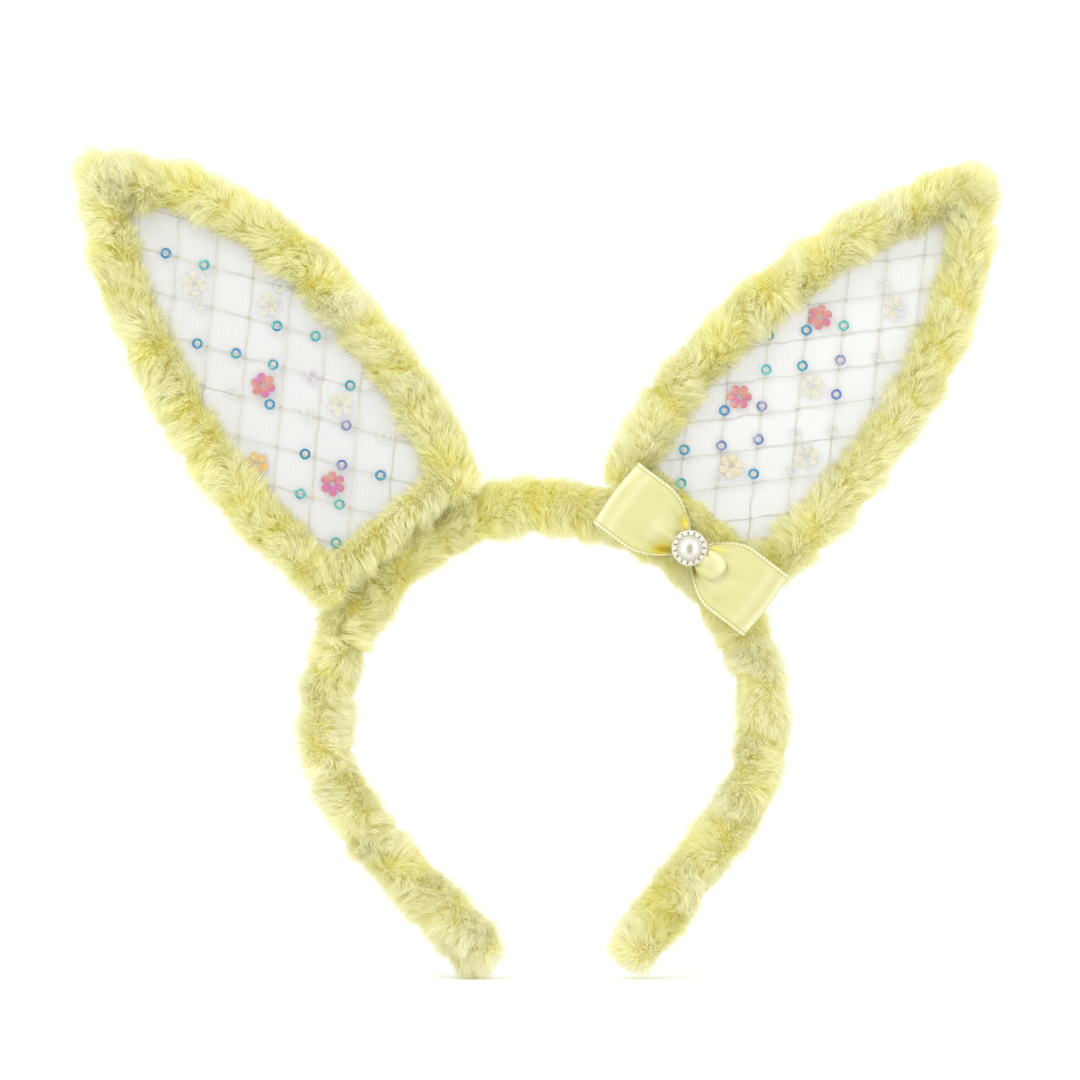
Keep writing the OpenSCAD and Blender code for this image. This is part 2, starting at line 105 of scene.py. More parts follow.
def swell(points, size, seed, waves=9):
    """Smooth wandering values of about -2 to 2: a sum of sine waves in random directions,
    each about size long."""
    rng = np.random.default_rng(seed)
    ways = unit(rng.normal(size=(waves, points.shape[-1])))
    ways *= 2 * np.pi / size * rng.uniform(0.6, 1.5, (waves, 1))
    turns = rng.uniform(0, 2 * np.pi, waves)
    return np.sin(points @ ways.T + turns).sum(-1) / math.sqrt(waves / 2)


def bezier(handles, t):
    """Point at share t of a cubic Bezier: the handles weighted by the Bernstein cubics of t."""
    p = np.asarray(handles, float)
    t = np.asarray(t, float)[:, None]
    return (1 - t) ** 3 * p[0] + 3 * (1 - t) ** 2 * t * p[1] + 3 * (1 - t) * t * t * p[2] + t ** 3 * p[3]


def grid_faces(rows, columns, wrap_rows=False, wrap_columns=False):
    """Quads between neighbours of a grid of points numbered row by row."""
    i = np.arange(rows if wrap_rows else rows - 1)[:, None]
    j = np.arange(columns if wrap_columns else columns - 1)[None, :]
    i2, j2 = (i + 1) % rows, (j + 1) % columns
    corners = [i * columns + j, i2 * columns + j, i2 * columns + j2, i * columns + j2]
    return np.stack(corners, -1).reshape(-1, 4)


def shape(name, points, faces, body, finish, maps=None, stands_for=()):
    """A piece from points in millimetres and faces that all have the same number of corners.
    Maps are UV values for each point."""
    mesh = bpy.data.meshes.new(name)
    points = np.asarray(points, float).reshape(-1, 3) * MM
    faces = np.asarray(faces, np.int32)
    corners = faces.shape[1]
    mesh.vertices.add(len(points))
    mesh.vertices.foreach_set("co", points.astype(np.float32).ravel())
    mesh.loops.add(faces.size)
    mesh.loops.foreach_set("vertex_index", faces.ravel())
    mesh.polygons.add(len(faces))
    mesh.polygons.foreach_set("loop_start", np.arange(0, faces.size, corners, dtype=np.int32))
    mesh.update(calc_edges=True)
    for label, values in (maps or {}).items():
        layer = mesh.uv_layers.new(name=label)
        layer.data.foreach_set("uv", np.asarray(values, np.float32)[faces.ravel()].ravel())
    mesh.validate()
    mesh.shade_smooth()
    mesh.materials.append(finish)
    piece = bpy.data.objects.new(name, mesh)
    bpy.context.scene.collection.objects.link(piece)
    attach(piece, body)
    if stands_for:
        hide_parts(*stands_for)
    return piece


def welded(piece, distance=0.0002):
    """Merges points that coincide and turns the faces outwards."""
    work = bmesh.new()
    work.from_mesh(piece.data)
    bmesh.ops.remove_doubles(work, verts=work.verts, dist=distance * MM)
    bmesh.ops.recalc_face_normals(work, faces=work.faces)
    work.to_mesh(piece.data)
    work.free()
    return piece


def walled(piece, thickness, offset=-1.0):
    """Gives a surface a wall of that thickness in millimetres."""
    wall = piece.modifiers.new("wall", "SOLIDIFY")
    wall.thickness = thickness * MM
    wall.offset = offset
    return piece


def joined(parts):
    """One list of points and one of faces from several, each part's faces counted on from those before."""
    counts = np.cumsum([0] + [len(p) for p, f in parts[:-1]])
    return np.concatenate([p for p, f in parts]), np.concatenate([f + c for (p, f), c in zip(parts, counts)])


def tube(way, radius, sides=5):
    """A round tube carried along a way: circles square to it, drawn to a point at both ends."""
    way = np.asarray(way, float)
    along = unit(np.gradient(way, axis=0))
    across = unit(np.cross(along, (0.13, 1.0, 0.07)))
    up = np.cross(across, along)
    turn = 2 * np.pi * np.arange(sides) / sides
    way = np.concatenate([way[:1], way, way[-1:]])
    across = np.concatenate([across[:1], across, across[-1:]])
    up = np.concatenate([up[:1], up, up[-1:]])
    size = np.full(len(way), float(radius))
    size[[0, -1]] = radius * 0.02
    ring = across[:, None] * np.cos(turn)[:, None] + up[:, None] * np.sin(turn)[:, None]
    points = way[:, None] + size[:, None, None] * ring
    return points.reshape(-1, 3), grid_faces(len(way), sides, wrap_columns=True)


# ---- finishes ----

class Level:
    """A number that changes over a surface. Each operator adds the Math node that works it out."""

    def __init__(self, finish, socket):
        self.finish = finish
        self.socket = socket

    def by(self, operation, a, b=0.0):
        return self.finish.node("ShaderNodeMath", {"operation": operation}, {0: a, 1: b})

    def __add__(self, other):
        return self.by("ADD", self, other)

    def __sub__(self, other):
        return self.by("SUBTRACT", self, other)

    def __rsub__(self, other):
        return self.by("SUBTRACT", other, self)

    def __mul__(self, other):
        return self.by("MULTIPLY", self, other)

    def __gt__(self, other):
        return self.by("GREATER_THAN", self, other)

    def sine(self):
        return self.by("SINE", self)

    def size(self):
        return self.by("ABSOLUTE", self)

    __radd__ = __add__
    __rmul__ = __mul__


class Finish:
    """A material built round one Principled shader."""

    def __init__(self, name, **plain):
        self.material = bpy.data.materials.new(name)
        self.material.use_nodes = True
        self.tree = self.material.node_tree
        self.tree.nodes.clear()
        self.out = self.tree.nodes.new("ShaderNodeOutputMaterial")
        self.shader = self.tree.nodes.new("ShaderNodeBsdfPrincipled")
        self.tree.links.new(self.shader.outputs[0], self.out.inputs[0])
        for label, value in plain.items():
            self.shader.inputs[label.replace("_", " ")].default_value = value

    def node(self, kind, settings=None, inputs=None, out=0):
        """Adds a node of a kind, gives it its settings, then its values and links, and returns one output."""
        made = self.tree.nodes.new(kind)
        for key, value in (settings or {}).items():
            if key == "stops":
                for stop, (place, tint) in enumerate(value):
                    if stop > 1:
                        made.color_ramp.elements.new(place)
                for stop, (place, tint) in zip(made.color_ramp.elements, value):
                    stop.position, stop.color = place, (*tint, 1)
            else:
                setattr(made, key, value)
        for key, value in (inputs or {}).items():
            if isinstance(value, Level):
                self.tree.links.new(value.socket, made.inputs[key])
            else:
                made.inputs[key].default_value = value
        return Level(self, made.outputs[out])

    def place(self):
        """The point on the piece, in metres."""
        return self.node("ShaderNodeTexCoord", out="Object")

    def own_map(self, label):
        """The two values of the piece's own map."""
        found = self.node("ShaderNodeUVMap", {"uv_map": label})
        parts = self.node("ShaderNodeSeparateXYZ", inputs={0: found})
        return parts, Level(self, parts.socket.node.outputs[1])

    def noise(self, size, detail=2.0, where=None):
        """Cloudy values of about 0 to 1, size millimetres from one patch to the next."""
        return self.node(
            "ShaderNodeTexNoise", {},
            {"Vector": where or self.place(), "Scale": 1 / (size * MM), "Detail": detail, "Roughness": 0.55},
        )

    def blended(self, share, first, second):
        """A colour between two by a share."""
        made = self.tree.nodes.new("ShaderNodeMix")
        made.data_type = "RGBA"
        for key, value in (("Factor", share), ("A", first), ("B", second)):
            socket = next(s for s in made.inputs if s.enabled and s.name == key)
            if isinstance(value, Level):
                self.tree.links.new(value.socket, socket)
            elif key == "Factor":
                socket.default_value = value
            else:
                socket.default_value = (*value, 1)
        return Level(self, next(s for s in made.outputs if s.enabled))

    def ramp(self, share, *stops):
        """A colour from a row of stops."""
        return self.node("ShaderNodeValToRGB", {"stops": stops}, {0: share})

    def feed(self, label, level):
        self.tree.links.new(level.socket, self.shader.inputs[label])

    def see_light(self, share, colour):
        """Lets that share of the light through to the other side, in the given colour."""
        through = self.node("ShaderNodeBsdfTranslucent", {}, {"Color": colour})
        both = self.tree.nodes.new("ShaderNodeMixShader")
        both.inputs[0].default_value = share
        self.tree.links.new(self.shader.outputs[0], both.inputs[1])
        self.tree.links.new(through.socket, both.inputs[2])
        self.tree.links.new(both.outputs[0], self.out.inputs[0])

    def bump(self, height, depth):
        """Relief of that depth in millimetres."""
        self.feed("Normal", self.node(
            "ShaderNodeBump", {}, {"Strength": 1.0, "Distance": depth * MM, "Height": height},
        ))


def plush(name, root, middle, tip):
    """Pile fibres: the map holds each fibre's shade, a random tone darkened by painted shade
    along the seam's creases, and the share along it, and the colour pales towards the tip."""
    made = Finish(name, Roughness=0.62, Specular_IOR_Level=0.25, Sheen_Weight=0.25, Sheen_Roughness=0.5)
    shade, along = made.own_map("OFBake")
    lit = shade * 0.62 + along * 0.46
    colour = made.ramp(lit, (0.05, root), (0.5, middle), (1.0, tip))
    made.feed("Base Color", colour)
    made.feed("Roughness", 0.70 - 0.16 * shade)
    made.see_light(0.5, colour)
    return made.material


def knit(name, low, high):
    """Backing cloth of the plush: crossing rows of stitches."""
    made = Finish(name, Roughness=0.9, Sheen_Weight=0.2)
    where = made.place()
    rows = made.node(
        "ShaderNodeTexWave", {"wave_type": "BANDS", "bands_direction": "DIAGONAL"},
        {"Vector": where, "Scale": 320.0, "Distortion": 1.5},
    )
    mottle = made.noise(4, 3, where)
    made.feed("Base Color", made.blended(rows * 0.5 + mottle * 0.5, low, high))
    made.bump(rows, 0.15)
    return made.material


def sheer(name, low, high):
    """Sheer woven panel: fine upright lines crossed by fainter ones, and a faint clouding."""
    made = Finish(name, Roughness=0.55, Alpha=0.8, Sheen_Weight=0.3, Specular_IOR_Level=0.3)
    parts = made.node("ShaderNodeSeparateXYZ", {}, {0: made.place()})
    up = Level(made, parts.socket.node.outputs[2])
    warp = (parts * (2 * math.pi / (0.9 * MM))).sine() * 0.5 + 0.5
    weft = (up * (2 * math.pi / (1.4 * MM))).sine() * 0.5 + 0.5
    cloud = made.noise(14, 3)
    made.feed("Base Color", made.blended(warp * 0.45 + weft * 0.08 + cloud * 0.45, low, high))
    made.bump(warp + weft * 0.3, 0.03)
    return made.material


def sequin(name, first, second, third, metal=0.35, film=420.0, size=9.0):
    """Iridescent film: patches of three hues, each of the given size, under a hard gloss."""
    made = Finish(
        name, Roughness=0.16, Metallic=metal, Coat_Weight=0.8, Coat_Roughness=0.05,
        Thin_Film_Thickness=film, Thin_Film_IOR=1.6,
    )
    patch = made.noise(size, 1)
    made.feed("Base Color", made.ramp(patch, (0.40, first), (0.5, second), (0.60, third)))
    made.feed("Roughness", 0.12 + 0.12 * made.noise(0.8, 1))
    return made.material


def clear_sequin(name, first, second, third, alpha):
    """Nearly clear iridescent film with a faint tint."""
    made = Finish(
        name, Roughness=0.14, Coat_Weight=0.8, Coat_Roughness=0.05, Alpha=alpha,
        Thin_Film_Thickness=380.0, Thin_Film_IOR=1.5,
    )
    patch = made.noise(3.2, 1)
    made.feed("Base Color", made.ramp(patch, (0.36, first), (0.5, second), (0.64, third)))
    return made.material


def satin(name, low, high, edge):
    """Satin ribbon: fine ribs across it, and a woven edge of dashes beside a darker line.
    It pales where it turns over, a painted highlight, and deepens to a deep yellow in its hollows, painted
    shade."""
    made = Finish(name, Roughness=0.36, Sheen_Weight=0.35, Sheen_Roughness=0.4, Specular_IOR_Level=0.5)
    along, across = made.own_map("weave")
    rib = (along * (2 * math.pi / 0.55)).sine() * 0.5 + 0.5
    slub = made.noise(5, 3)
    ground = made.blended(rib * 0.5 + slub * 0.5, low, high)
    side = across.size()
    selvage = side > 0.925
    line = (side > 0.885) * (1 - selvage)
    dash = ((along * (2 * math.pi / 1.25)).sine() > -0.2) * selvage
    # The turn map holds a painted highlight and painted shade for the hollows; (0.74, 0.72, 0.44) is the
    # painted highlight colour, (0.80, 0.68, 0.04) the painted hollow shade.
    painted_highlight, painted_hollow_shade = made.own_map("turn")
    lit = made.blended(painted_highlight, ground, (0.74, 0.72, 0.44))
    sunk = made.blended(painted_hollow_shade, lit, (0.80, 0.68, 0.04))
    lined = made.blended(line * 0.55, sunk, edge)
    made.feed("Base Color", made.blended(dash * 0.8, lined, (0.78, 0.76, 0.52)))
    made.feed("Roughness", 0.33 + 0.14 * rib)
    made.bump(rib * 0.4 + dash * 1.0 - line * 1.0, 0.05)
    return made.material


def moulded(name, low, high, roughness, metal=0.0, grain=0.6, depth=0.02, coat=0.0):
    """Plain hard finish: two close shades in fine cloudy grain, with the same grain in its relief."""
    made = Finish(name, Roughness=roughness, Metallic=metal, Coat_Weight=coat, Coat_Roughness=0.08)
    cloud = made.noise(grain * 6, 3)
    fine = made.noise(grain, 2)
    made.feed("Base Color", made.blended(cloud * 0.6 + fine * 0.4, low, high))
    made.feed("Roughness", (roughness - 0.06) + 0.12 * fine)
    made.bump(fine, depth)
    return made.material


def lustre(name, heart, rim):
    """Pearl: a darker beige heart, a painted dark reflection, that pales towards the rim, with a
    paler patch on each side of it, a painted reflection of light from the sides, under a clear coat."""
    made = Finish(name, Roughness=0.2, Coat_Weight=1.0, Coat_Roughness=0.04)
    painted_side_reflection, out = made.own_map("round")
    cloud = made.noise(1.5, 2)
    ground = made.ramp(out * 0.7 + 0.16 * cloud, (0.30, heart), (0.54, rim), (1.0, rim))
    # (0.88, 0.87, 0.86) is the colour of the painted side reflections.
    made.feed("Base Color", made.blended(painted_side_reflection, ground, (0.88, 0.87, 0.86)))
    made.bump(cloud, 0.004)
    return made.material


def spun(name, low, high, twist):
    """Twisted thread: slanting plies along it."""
    made = Finish(name, Roughness=0.7, Sheen_Weight=0.3)
    where = made.place()
    ply = made.node(
        "ShaderNodeTexWave", {"wave_type": "BANDS", "bands_direction": "DIAGONAL"},
        {"Vector": where, "Scale": 1 / (twist * MM), "Distortion": 0.6},
    )
    made.feed("Base Color", made.blended(ply * 0.6 + made.noise(3, 2, where) * 0.4, low, high))
    made.bump(ply, 0.05)
    return made.material


crown_plush = plush("crown_plush", (0.955, 0.925, 0.34), (0.962, 0.945, 0.60), (0.97, 0.96, 0.76))
leg_plush = plush("leg_plush", (0.955, 0.93, 0.42), (0.962, 0.95, 0.70), (0.97, 0.965, 0.82))
ear_plush = plush("ear_plush", (0.96, 0.935, 0.37), (0.968, 0.955, 0.66), (0.978, 0.97, 0.81))
backing_knit = knit("backing_knit", (0.74, 0.66, 0.16), (0.86, 0.79, 0.26))
ear_gauze = {
    "left_ear": sheer("left_gauze", (0.53, 0.53, 0.52), (0.60, 0.60, 0.59)),
    "right_ear": sheer("right_gauze", (0.60, 0.60, 0.59), (0.67, 0.67, 0.66)),
}
net_cotton = spun("net_cotton", (0.50, 0.47, 0.37), (0.70, 0.66, 0.54), 1.0)
blue_film = sequin("blue_film", (0.10, 0.42, 0.38), (0.04, 0.28, 0.38), (0.04, 0.20, 0.42))
violet_film = sequin("violet_film", (0.10, 0.16, 0.42), (0.34, 0.28, 0.46), (0.56, 0.47, 0.56))
pale_film = clear_sequin("pale_film", (0.66, 0.72, 0.68), (0.74, 0.72, 0.56), (0.62, 0.64, 0.76), 0.5)
pink_film = sequin(
    "pink_film", (0.50, 0.10, 0.31), (0.51, 0.14, 0.18), (0.56, 0.21, 0.18), metal=0.1, size=5.0,
)
gold_film = sequin(
    "gold_film", (0.60, 0.36, 0.10), (0.62, 0.42, 0.18), (0.60, 0.36, 0.26), metal=0.1, size=5.0,
)
cream_film = clear_sequin("cream_film", (0.70, 0.58, 0.36), (0.76, 0.70, 0.48), (0.72, 0.64, 0.50), 0.7)
faint_film = clear_sequin("faint_film", (0.68, 0.70, 0.52), (0.76, 0.70, 0.48), (0.60, 0.62, 0.74), 0.4)
ribbon_satin = satin("ribbon_satin", (0.53, 0.51, 0.20), (0.63, 0.61, 0.30), (0.42, 0.38, 0.11))
# The pearl's darker heart colour is a painted dark reflection; the rim colour is its own.
pearl_lustre = lustre("pearl_lustre", (0.38, 0.33, 0.22), (0.66, 0.64, 0.59))
bead_metal = moulded(
    "bead_metal", (0.62, 0.60, 0.50), (0.74, 0.72, 0.62), 0.30,
    metal=0.1, grain=0.5, depth=0.01, coat=0.6,
)
# Dark finish for the disc that stands for painted shadow between the rim beads.
gap_shadow_finish = moulded("gap_shadow_finish", (0.18, 0.16, 0.11), (0.32, 0.29, 0.21), 0.5, metal=0.2, grain=0.5)
band_plastic = moulded("band_plastic", (0.80, 0.79, 0.74), (0.90, 0.89, 0.85), 0.42, grain=0.9)
coated_wire = moulded("coated_wire", (0.74, 0.74, 0.72), (0.88, 0.88, 0.86), 0.5, grain=0.4)
tie_steel = moulded("tie_steel", (0.42, 0.42, 0.41), (0.62, 0.61, 0.60), 0.34, metal=0.9, grain=0.3)
sewing_cotton = spun("sewing_cotton", (0.72, 0.68, 0.44), (0.88, 0.84, 0.60), 0.6)

CAD_FINISHES = {
    "band_core": band_plastic,
    "bow_stitches": sewing_cotton,
    "left_ear_wire": coated_wire,
    "right_ear_wire": coated_wire,
    "left_ear_ties": tie_steel,
    "right_ear_ties": tie_steel,
}
for label, finish in CAD_FINISHES.items():
    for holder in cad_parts[label].material_slots:
        holder.material = finish


# ---- floor, light and camera ----

def light(name, energy, size, where, aim):
    """A soft square lamp at a place, turned to face another."""
    lamp = bpy.data.lights.new(name, "AREA")
    lamp.shape, lamp.size, lamp.energy = "SQUARE", size, energy
    holder = bpy.data.objects.new(name, lamp)
    bpy.context.scene.collection.objects.link(holder)
    holder.location = where
    way = np.subtract(aim, where)
    flat = math.hypot(way[0], way[1])
    holder.rotation_euler = (math.atan2(flat, -way[2]), 0, math.atan2(-way[0], way[1]))


VIEW_WIDTH = 345.6
VIEW_DISTANCE = 2.4
VIEW_MIDDLE = (-1.6, 58.9)
FLOOR_DROP = 4.0

lens = bpy.data.cameras.new("view")
lens.sensor_width = 36.0
lens.lens = lens.sensor_width * VIEW_DISTANCE / (VIEW_WIDTH * MM)
lens.clip_end = 50.0
camera = bpy.data.objects.new("view", lens)
bpy.context.scene.collection.objects.link(camera)
camera.location = (VIEW_MIDDLE[0] * MM, -VIEW_DISTANCE, VIEW_MIDDLE[1] * MM)
camera.rotation_euler = (math.pi / 2, 0, 0)
bpy.context.scene.camera = camera
bpy.context.scene.view_settings.view_transform = "Standard"
bpy.context.scene.view_settings.look = "None"

world = bpy.data.worlds.new("studio")
bpy.context.scene.world = world
world.use_nodes = True
world.node_tree.nodes["Background"].inputs["Color"].default_value = (1.0, 1.0, 1.0, 1)
world.node_tree.nodes["Background"].inputs["Strength"].default_value = 1.12

light("key", 9.0, 0.7, (-0.7, -1.0, 1.3), (0, 0, 0.06))
light("fill", 3.0, 0.9, (1.0, -1.1, 0.5), (0, 0, 0.06))

floor_level = cad_low[2] / MM - FLOOR_DROP
turns = np.linspace(0, 2 * np.pi, 96, endpoint=False)
reach = np.array([0.0, 150.0, 400.0, 1200.0, 6000.0])
disc = np.stack([
    np.outer(reach, np.cos(turns)), np.outer(reach, np.sin(turns)),
    np.full((len(reach), len(turns)), floor_level),
], -1)
floor_finish = Finish("pale_floor", Roughness=0.9, Specular_IOR_Level=0.1)
mottle = floor_finish.noise(9, 2)
floor_finish.feed("Base Color", floor_finish.blended(mottle, (0.94, 0.94, 0.94), (0.97, 0.97, 0.97)))
disc_faces = grid_faces(len(reach), len(turns), wrap_columns=True)[:, ::-1]
floor = shape("floor", disc, disc_faces, "band", floor_finish.material)
floor.parent = None


# ---- ways through the fur ----

def band_place(s):
    """Places and directions along the band's middle line at distances s from the top: an arc
    over the crown, a tighter arc, then a straight stretch, the same on both sides but for the
    bend and the length."""
    s = np.asarray(s, float)
    side = np.where(s < 0, -1, 1)
    bend = np.where(s < 0, LEGS[-1][0], LEGS[1][0]) * np.pi / 180
    far = np.abs(s)
    quarter = CROWN_RADIUS * np.pi / 2
    crown = np.clip(far, 0, quarter) / CROWN_RADIUS
    turn = np.clip(far - quarter, 0, BEND_RADIUS * bend) / BEND_RADIUS
    straight = np.maximum(far - quarter - BEND_RADIUS * bend, 0)
    x = CROWN_RADIUS * np.sin(crown)
    z = CROWN_RADIUS * np.cos(crown)
    low_x = CROWN_RADIUS - BEND_RADIUS + BEND_RADIUS * np.cos(turn) - straight * np.sin(bend)
    x = np.where(far > quarter, low_x, x)
    z = np.where(far > quarter, -BEND_RADIUS * np.sin(turn) - straight * np.cos(bend), z)
    heading = np.where(far > quarter, np.pi / 2 + turn, crown)
    way = np.stack([np.cos(heading), np.zeros_like(s), -side * np.sin(heading)], -1)
    return np.stack([side * x, np.zeros_like(s), z], -1), way


def leg_end(side):
    """Distance from the top of the band to the end of one leg."""
    bend, straight = LEGS[side]
    return CROWN_RADIUS * np.pi / 2 + BEND_RADIUS * bend * np.pi / 180 + straight


def in_ear(ear, flat):
    """Points of an ear's own plane, given as across, forward and up, moved to the ear's place and lean."""
    facts = EARS[ear]
    around, lean = math.radians(facts["angle"]), math.radians(facts["lean"])
    flat = np.asarray(flat, float)
    across, forward, up = flat[..., 0], flat[..., 1], flat[..., 2]
    return np.stack([
        HINGE_REACH * math.cos(around) + across * math.cos(lean) + up * math.sin(lean),
        -EAR_FORWARD - forward,
        HINGE_REACH * math.sin(around) - across * math.sin(lean) + up * math.cos(lean),
    ], -1)


def ear_side(ear, side, steps=160):
    """The wire up one side of an ear, across and up; the inner side faces the other ear."""
    facts = EARS[ear]
    hand = -facts["hand"] if side == "inner" else facts["hand"]
    way = bezier(facts[side], np.linspace(0, 1, steps))
    return way * (hand, 1)


def flat_way(ear, way):
    """An across-and-up way of an ear, as places in the frame."""
    return in_ear(ear, np.stack([way[:, 0], np.zeros(len(way)), way[:, 1]], -1))


class Sleeve:
    """A round sleeve along a way that lies in a plane facing the front. At a closed end it
    runs on over a blunt dome."""

    def __init__(self, way, radius, dome_start=0.0, dome_end=0.0, blunt=2.6):
        way = np.asarray(way, float)
        along = unit(np.gradient(way, axis=0))
        if dome_start:
            share = np.linspace(1, 0.02, 12)[:, None]
            way = np.concatenate([way[0] - share * dome_start * along[0], way])
            along = np.concatenate([np.repeat(along[:1], 12, 0), along])
        if dome_end:
            share = np.linspace(0.02, 1, 12)[:, None]
            way = np.concatenate([way, way[-1] + share * dome_end * along[-1]])
            along = np.concatenate([along, np.repeat(along[-1:], 12, 0)])
        step = np.linalg.norm(np.diff(way, axis=0), axis=1)
        self.s = np.concatenate([[0], np.cumsum(step)])
        self.way, self.along = way, along
        self.length = self.s[-1]
        self.radius, self.dome_start, self.dome_end, self.blunt = radius, dome_start, dome_end, blunt

    def swollen(self, s):
        """Share of the full radius, and the slope towards the end, on a superellipse dome."""
        size, slope = np.ones_like(s), np.zeros_like(s)
        for reach, into, sign in (
            (self.dome_start, self.dome_start - s, -1), (self.dome_end, s - (self.length - self.dome_end), 1),
        ):
            if reach:
                far = np.clip(into / reach, 0, 0.999)
                on = into > 0
                left = 1 - far ** self.blunt
                size = np.where(on, left ** (1 / self.blunt), size)
                fall = np.arctan2(far ** (self.blunt - 1), left ** (1 - 1 / self.blunt))
                slope = np.where(on, sign * fall, slope)
        return size, slope

    def at(self, s, angle):
        """Point, outward normal and the two directions in the surface, at distances s and
        angles round the sleeve, where 0 is the outer edge and a quarter turn is the front."""
        place = np.stack([np.interp(s, self.s, self.way[:, k]) for k in range(3)], -1)
        along = unit(np.stack([np.interp(s, self.s, self.along[:, k]) for k in range(3)], -1))
        front = np.broadcast_to((0.0, -1.0, 0.0), along.shape)
        out = np.cross(front, along)
        size, slope = self.swollen(s)
        c, q = np.cos(angle)[..., None], np.sin(angle)[..., None]
        spoke = c * out + q * front
        normal = np.cos(slope)[..., None] * spoke + np.sin(slope)[..., None] * along
        round_it = -q * out + c * front
        down = np.cross(normal, round_it)
        return place + spoke * (size * self.radius)[..., None], normal, down, round_it


BACKING_WALL = 0.5


def backing(name, sleeve, body, node, turns=28):
    """The plush's cloth tube: circles on the sleeve's way, with a wall."""
    s = np.linspace(0, sleeve.length, max(12, int(sleeve.length / 2.2)))
    angle = np.linspace(0, 2 * np.pi, turns, endpoint=False)
    grid_s, grid_a = np.meshgrid(s, angle, indexing="ij")
    points = sleeve.at(grid_s, grid_a)[0]
    piece = shape(name, points, grid_faces(len(s), turns, wrap_columns=True), body, backing_knit,
                  stands_for=(node,))
    welded(piece, 0.01)
    return walled(piece, BACKING_WALL)


FIBRE_ROOT = 0.15
TUFT = 3.2
GROWTH_REACH = 32
PILE_SEEDS = iter(range(100, 200))


def pile(name, sleeve, body, node, finish, count, length, wind=17.0, span=(0.0, 1.0),
         end_growth=0.0, start_growth=0.0, comb=None):
    """Pile of the plush. Fibres stand on the sleeve at random, lean along a slowly turning way,
    gather in tufts and shorten along the spiral seam where the strip was wound. Combed pile
    leans the given way and is shorter where that way points into the cloth. Each fibre is a
    tapered blade of five points: two at its root, two at its bend and its tip."""
    seed = next(PILE_SEEDS)
    rng = np.random.default_rng(seed)
    draw = np.linspace(sleeve.length * span[0], sleeve.length * span[1], 400)
    weight = np.cumsum(sleeve.swollen(draw)[0] + 0.25)
    s = np.interp(rng.uniform(weight[0], weight[-1], count), weight, draw)
    angle = rng.uniform(0, 2 * np.pi, count)

    # Each fibre joins the nearest of the tufts, whose middles stand on a shaken grid.
    pile_radius = sleeve.radius + 2
    rows = int(sleeve.length / TUFT) + 3
    columns = max(6, int(2 * np.pi * pile_radius / TUFT))
    shake = rng.uniform(0.05, 0.95, (rows, columns, 2))
    facts = rng.normal(size=(rows, columns, 4))
    row = np.floor(s / TUFT).astype(int) + 1
    column = np.floor(angle / (2 * np.pi) * columns).astype(int)
    best = np.full(count, 1e9)
    own_row, own_column = row.copy(), column.copy()
    for dr in (-1, 0, 1):
        for dc in (-1, 0, 1):
            r, c = np.clip(row + dr, 0, rows - 1), (column + dc) % columns
            far_s = (r - 1 + shake[r, c, 0]) * TUFT - s
            turn = (c + shake[r, c, 1]) / columns * 2 * np.pi - angle
            turn = (turn + np.pi) % (2 * np.pi) - np.pi
            far = far_s ** 2 + (turn * pile_radius) ** 2
            nearer = far < best
            best = np.where(nearer, far, best)
            own_row, own_column = np.where(nearer, r, own_row), np.where(nearer, c, own_column)
    tuft_s = np.clip((own_row - 1 + shake[own_row, own_column, 0]) * TUFT, 0, sleeve.length)
    tuft_angle = (own_column + shake[own_row, own_column, 1]) / columns * 2 * np.pi
    mood = facts[own_row, own_column]

    def stand(at_s, at_angle, own):
        """Root, outward way, leaning way, lean, length and seam share of fibres, with own a
        small change of its own for each."""
        root, normal, down, round_it = sleeve.at(at_s, at_angle)
        drift = 1.1 * swell(root, 34, seed + 1) + 0.30 * mood[:, 0] + 0.28 * own[:, 0]
        flow = np.cos(drift)[:, None] * down + np.sin(drift)[:, None] * round_it
        lean = 0.70 + 0.08 * mood[:, 1] + 0.22 * own[:, 1] + 0.10 * swell(root, 18, seed + 2)
        lean = np.clip(lean, 0.05, 1.35)
        seam = 0.5 + 0.5 * np.cos(2 * np.pi * at_s / wind + at_angle + 0.9 * swell(root, 30, seed + 3))
        seam = seam ** 5
        tall = length * (1 + 0.06 * mood[:, 2] + 0.12 * swell(root, 13, seed + 4) - 0.34 * seam)
        tall = tall * (1 + end_growth * np.clip(1 - (sleeve.length - at_s) / GROWTH_REACH, 0, 1) ** 1.5)
        tall = tall * (1 + start_growth * np.clip(1 - at_s / GROWTH_REACH, 0, 1) ** 0.8)
        if comb is not None:
            into = normal @ comb
            flow = unit(flow + 2.0 * (comb - into[:, None] * normal))
            tall = tall * (1 + 0.45 * np.clip(into, -1, 0))
        return root, normal, flow, lean, np.clip(tall, 0.35 * length, 1.6 * length), seam

    own = rng.normal(size=(count, 3))
    root, normal, flow, lean, tall, seam = stand(s, angle, own)
    tall = tall * np.clip(1 + 0.20 * own[:, 2], 0.45, 1.45)
    none = np.zeros_like(own)
    t_root, t_normal, t_flow, t_lean, t_tall, _ = stand(tuft_s, tuft_angle, none)

    def bent(root, normal, flow, lean, tall):
        """Bend and tip of a fibre: it leaves the cloth upright and leans over more towards its tip."""
        low, high = lean * 0.55, lean * 1.35
        bend = root + (0.5 * tall)[:, None] * (np.cos(low)[:, None] * normal + np.sin(low)[:, None] * flow)
        tip = bend + (0.5 * tall)[:, None] * (np.cos(high)[:, None] * normal + np.sin(high)[:, None] * flow)
        return bend, tip

    bend, tip = bent(root, normal, flow, lean, tall)
    t_bend, t_tip = bent(t_root, t_normal, t_flow, t_lean, t_tall)
    pull = rng.uniform(0.0, 0.32, count)[:, None]
    tip = tip + (t_tip - tip) * pull
    bend = bend + (t_bend - bend) * pull * 0.45

